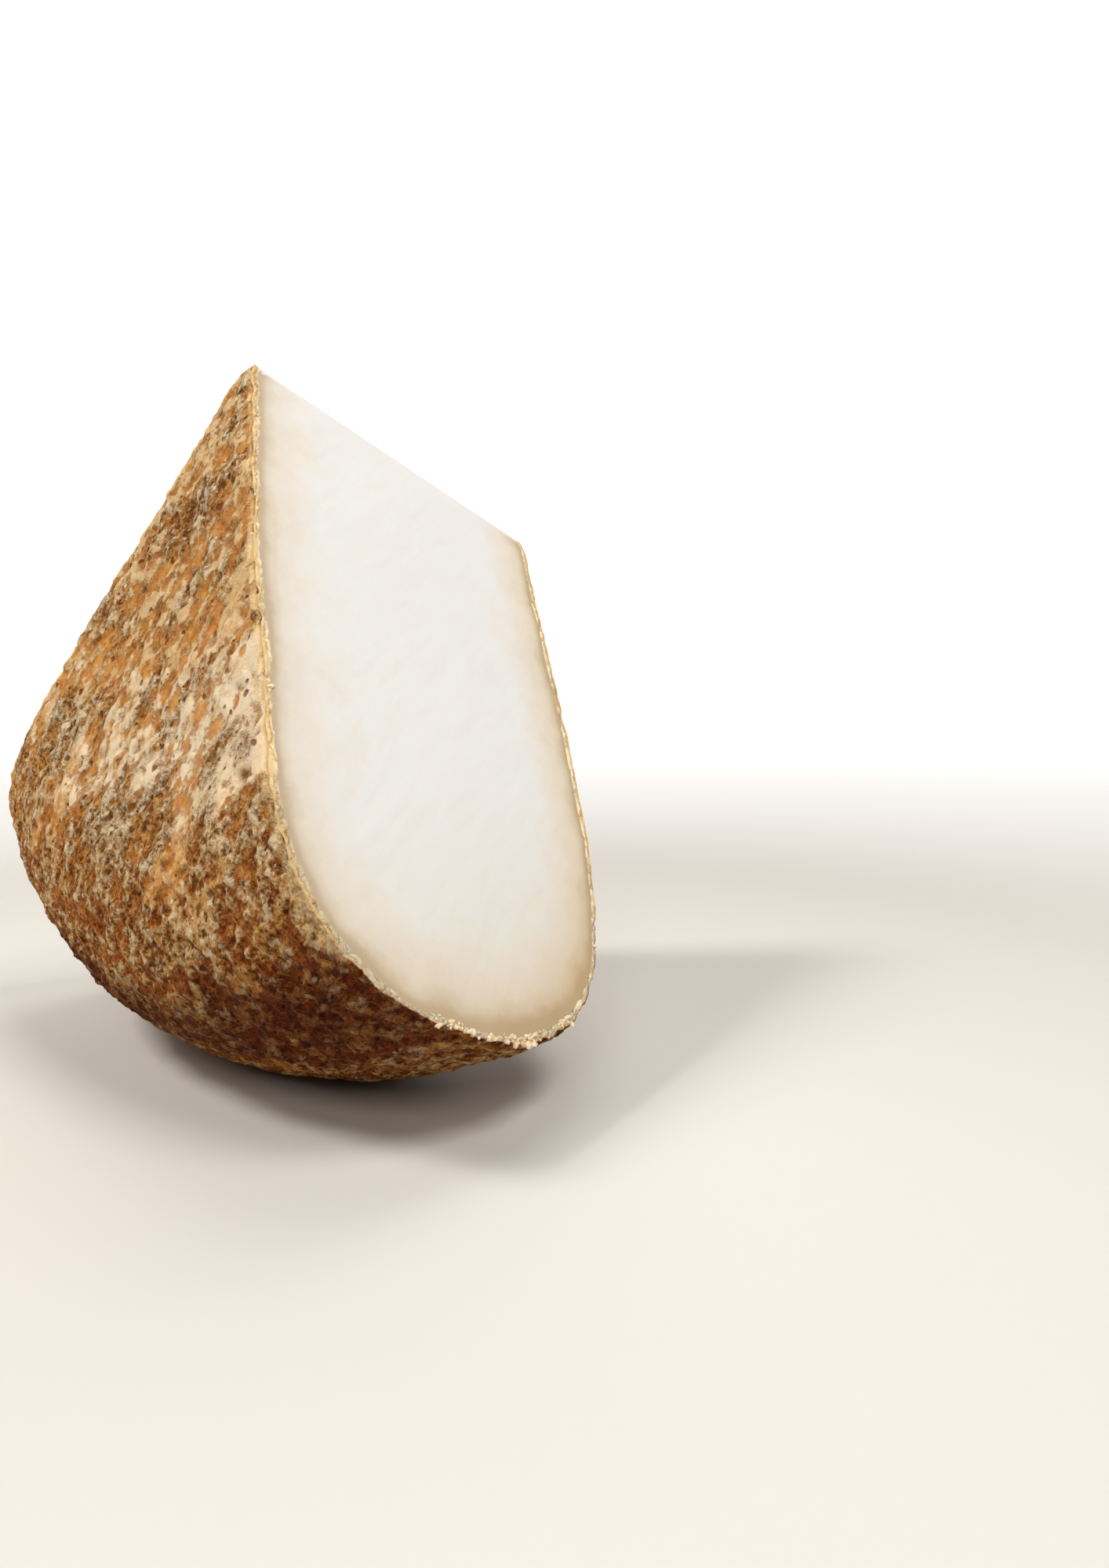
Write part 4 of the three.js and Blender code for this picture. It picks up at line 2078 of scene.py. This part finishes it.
@dataclass(frozen=True)
class Crumbs:
    """The small grains that cling along the front cut where the knife broke the rind's edge."""

    rind: Rind
    finish: CrumbFinish = CrumbFinish()
    seed: int = 17
    count: int = 120
    least: float = 0.28
    widest: float = 0.85
    flattest: float = 0.45
    clusters: tuple[Cluster, ...] = (
        Cluster(0.474, 0.010, 1.0), Cluster(0.500, 0.012, 0.5),
        Cluster(0.530, 0.014, 1.0), Cluster(0.565, 0.014, 0.8),
    )
    elsewhere: Span = (0.006, 0.7)
    elsewhere_weight: float = 0.012
    across: Span = (0.05, 1.0)
    lump: Crags = Crags(seed=111, size=0.6, height=0.6)
    lumps_apart: float = 50.0
    stand_off: float = 0.16
    detail: int = 2

    def ball(self) -> tuple[Array, Array]:
        """Make a small ball to shape each grain from.

        Returns:
            Its points and its triangles.
        """
        shape = bmesh.new()
        bmesh.ops.create_icosphere(shape, subdivisions=self.detail, radius=1.0)
        points = np.array([corner.co for corner in shape.verts])
        faces = np.array([[corner.index for corner in face.verts] for face in shape.faces])
        shape.free()
        return points, faces

    def seats(self, draws: np.random.Generator) -> Array:
        """Pick the places on the band where grains cling, in the wheel's frame.

        Args:
            draws: The random draws.

        Returns:
            One row of three for each grain.
        """
        stations = self.rind.form.section.stations(self.rind.grid)
        turn = np.zeros(len(stations.place))
        relief = self.rind.relief_of(stations.place, stations.normal, turn)
        inner = self.rind.inner_height(stations.place, turn, relief.crags)
        outer = relief.crags + relief.detail
        along = np.linspace(0.0, 1.0, len(turn))
        start, end = self.elsewhere
        weight = self.elsewhere_weight * ((along > start) & (along < end))
        for cluster in self.clusters:
            apart = (along - cluster.middle) / cluster.spread
            weight = weight + cluster.weight * np.exp(-(apart**2))
        picked = draws.choice(len(turn), self.count, p=weight / weight.sum())
        share = draws.uniform(*self.across, self.count)
        height = outer[picked] * (1.0 - share) + inner[picked] * share
        place, normal = stations.place[picked], stations.normal[picked]
        return self.rind.form.surface(place, normal, turn[picked], height)

    def build(self) -> bpy.types.Object:
        """Make the crumbs.

        Returns:
            The finished piece.
        """
        draws = np.random.default_rng(self.seed)
        points, faces = self.ball()
        facing = self.rind.form.cut_facings()[0]
        draft = MeshDraft()
        for seat in self.seats(draws):
            radius = self.least + (self.widest - self.least) * draws.uniform() ** 2
            squash = draws.uniform(self.flattest, 1.0, 3)
            spin = np.array(Euler(draws.uniform(0.0, math.tau, 3)).to_matrix())
            lump_at = points + self.lumps_apart * draws.uniform(size=3)
            grain = points * (1.0 + self.lump.rise(lump_at))[:, None]
            grain = (grain * squash * radius) @ spin.T
            placed = self.rind.stance.stand(seat + facing * self.stand_off + grain)
            placed[:, 2] = np.maximum(placed[:, 2], 0.0)
            first = draft.add_points(placed, place=seat + grain)[0]
            draft.add_faces(faces + first)
        return draft.to_object("crumbs", self.finish.build())


# ---- The stage ----


@dataclass(frozen=True)
class Softbox:
    """One soft lamp: where it hangs, what it faces, its size and its power in watts."""

    name: str
    place: Triple
    aim: Triple
    size: tuple[float, float]
    power: float
    colour: Colour = (1.0, 1.0, 1.0)

    def build(self) -> None:
        """Hang the lamp."""
        lamp = bpy.data.lights.new(self.name, "AREA")
        lamp.shape = "RECTANGLE"
        lamp.size, lamp.size_y = self.size
        lamp.energy = self.power
        lamp.color = self.colour
        holder = bpy.data.objects.new(self.name, lamp)
        holder.location = self.place
        toward = Vector(self.aim) - Vector(self.place)
        holder.rotation_euler = toward.to_track_quat("-Z", "Y").to_euler()
        bpy.context.scene.collection.objects.link(holder)


@dataclass(frozen=True)
class Studio:
    """The plain pale floor, the soft lamps and the camera, in metres."""

    floor_finish: FloorFinish = FloorFinish()
    half_width: float = 3.0
    front: float = -2.0
    back: float = 2.2
    bend: float = 0.8
    wall: float = 3.0
    bend_steps: int = 24
    lamps: tuple[Softbox, ...] = (
        Softbox("key", (0.50, -0.50, 1.00), (0.0, 0.0, 0.08), (0.35, 0.35), 6.6),
        Softbox("top", (0.05, 0.30, 1.20), (0.0, 0.0, 0.08), (0.6, 0.6), 3.5),
        Softbox("side", (-0.70, -0.25, 0.95), (0.0, 0.0, 0.08), (0.25, 0.25), 8.5),
        Softbox("front", (-0.05, -0.95, 0.70), (0.0, 0.0, 0.08), (0.4, 0.4), 3.3),
    )
    world_strength: float = 0.08
    eye: Triple = (0.061895, -0.246413, 0.08479)
    pitch_down: float = math.radians(3.56)
    yaw_right: float = math.radians(0.49)
    lens: float = 22.01
    sensor: float = 36.0
    nearest: float = 0.01
    farthest: float = 20.0

    def floor(self) -> bpy.types.Object:
        """Make the floor, which bends up into a wall far behind.

        Returns:
            The floor.
        """
        angles = np.linspace(0.0, math.pi / 2, self.bend_steps + 1)
        depth = [self.front, *(self.back + self.bend * np.sin(angles)), self.back + self.bend]
        rise = [0.0, *(self.bend * (1.0 - np.cos(angles))), self.wall]
        sides = (-self.half_width, self.half_width)
        points = [(x, y, z) for y, z in zip(depth, rise) for x in sides]
        faces = [(2 * i, 2 * i + 1, 2 * i + 3, 2 * i + 2) for i in range(len(depth) - 1)]
        mesh = bpy.data.meshes.new("floor")
        mesh.from_pydata(points, [], faces)
        mesh.polygons.foreach_set("use_smooth", np.ones(len(mesh.polygons), bool))
        mesh.materials.append(self.floor_finish.build())
        floor = bpy.data.objects.new("floor", mesh)
        bpy.context.scene.collection.objects.link(floor)
        return floor

    def world(self) -> None:
        """Fill the room with even white light."""
        world = bpy.data.worlds.new("room")
        world.use_nodes = True
        background = world.node_tree.nodes["Background"]
        background.inputs["Color"].default_value = (1.0, 1.0, 1.0, 1.0)
        background.inputs["Strength"].default_value = self.world_strength
        bpy.context.scene.world = world

    def camera(self) -> None:
        """Set up the camera at eye level with the wedge."""
        camera = bpy.data.cameras.new("camera")
        camera.lens = self.lens
        camera.sensor_width = self.sensor
        camera.sensor_fit = "AUTO"
        camera.clip_start = self.nearest
        camera.clip_end = self.farthest
        holder = bpy.data.objects.new("camera", camera)
        holder.location = self.eye
        holder.rotation_euler = (math.pi / 2 - self.pitch_down, 0.0, -self.yaw_right)
        bpy.context.scene.collection.objects.link(holder)
        bpy.context.scene.camera = holder

    def build(self) -> None:
        """Set the stage."""
        self.floor()
        self.world()
        for lamp in self.lamps:
            lamp.build()
        self.camera()
        bpy.context.scene.view_settings.view_transform = "Standard"


# ---- Assembly ----


def place_piece(piece: bpy.types.Object) -> None:
    """Ride a piece on the cheese's body and report it.

    Args:
        piece: The finished piece.
    """
    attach(piece, BODY)
    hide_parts(NODE)
    LOG.info("%s: %d points, %d faces", piece.name, len(piece.data.vertices),
             len(piece.data.polygons))


def main() -> None:
    """Build every piece and the stage round them."""
    logging.basicConfig(level=logging.INFO, format="%(name)s: %(message)s")
    rind = Rind(WedgeForm(), Stance(), RindRelief())
    place_piece(rind.build())
    place_piece(Paste(rind).build())
    place_piece(Crumbs(rind).build())
    Studio().build()


if __name__ == "__main__":
    main()
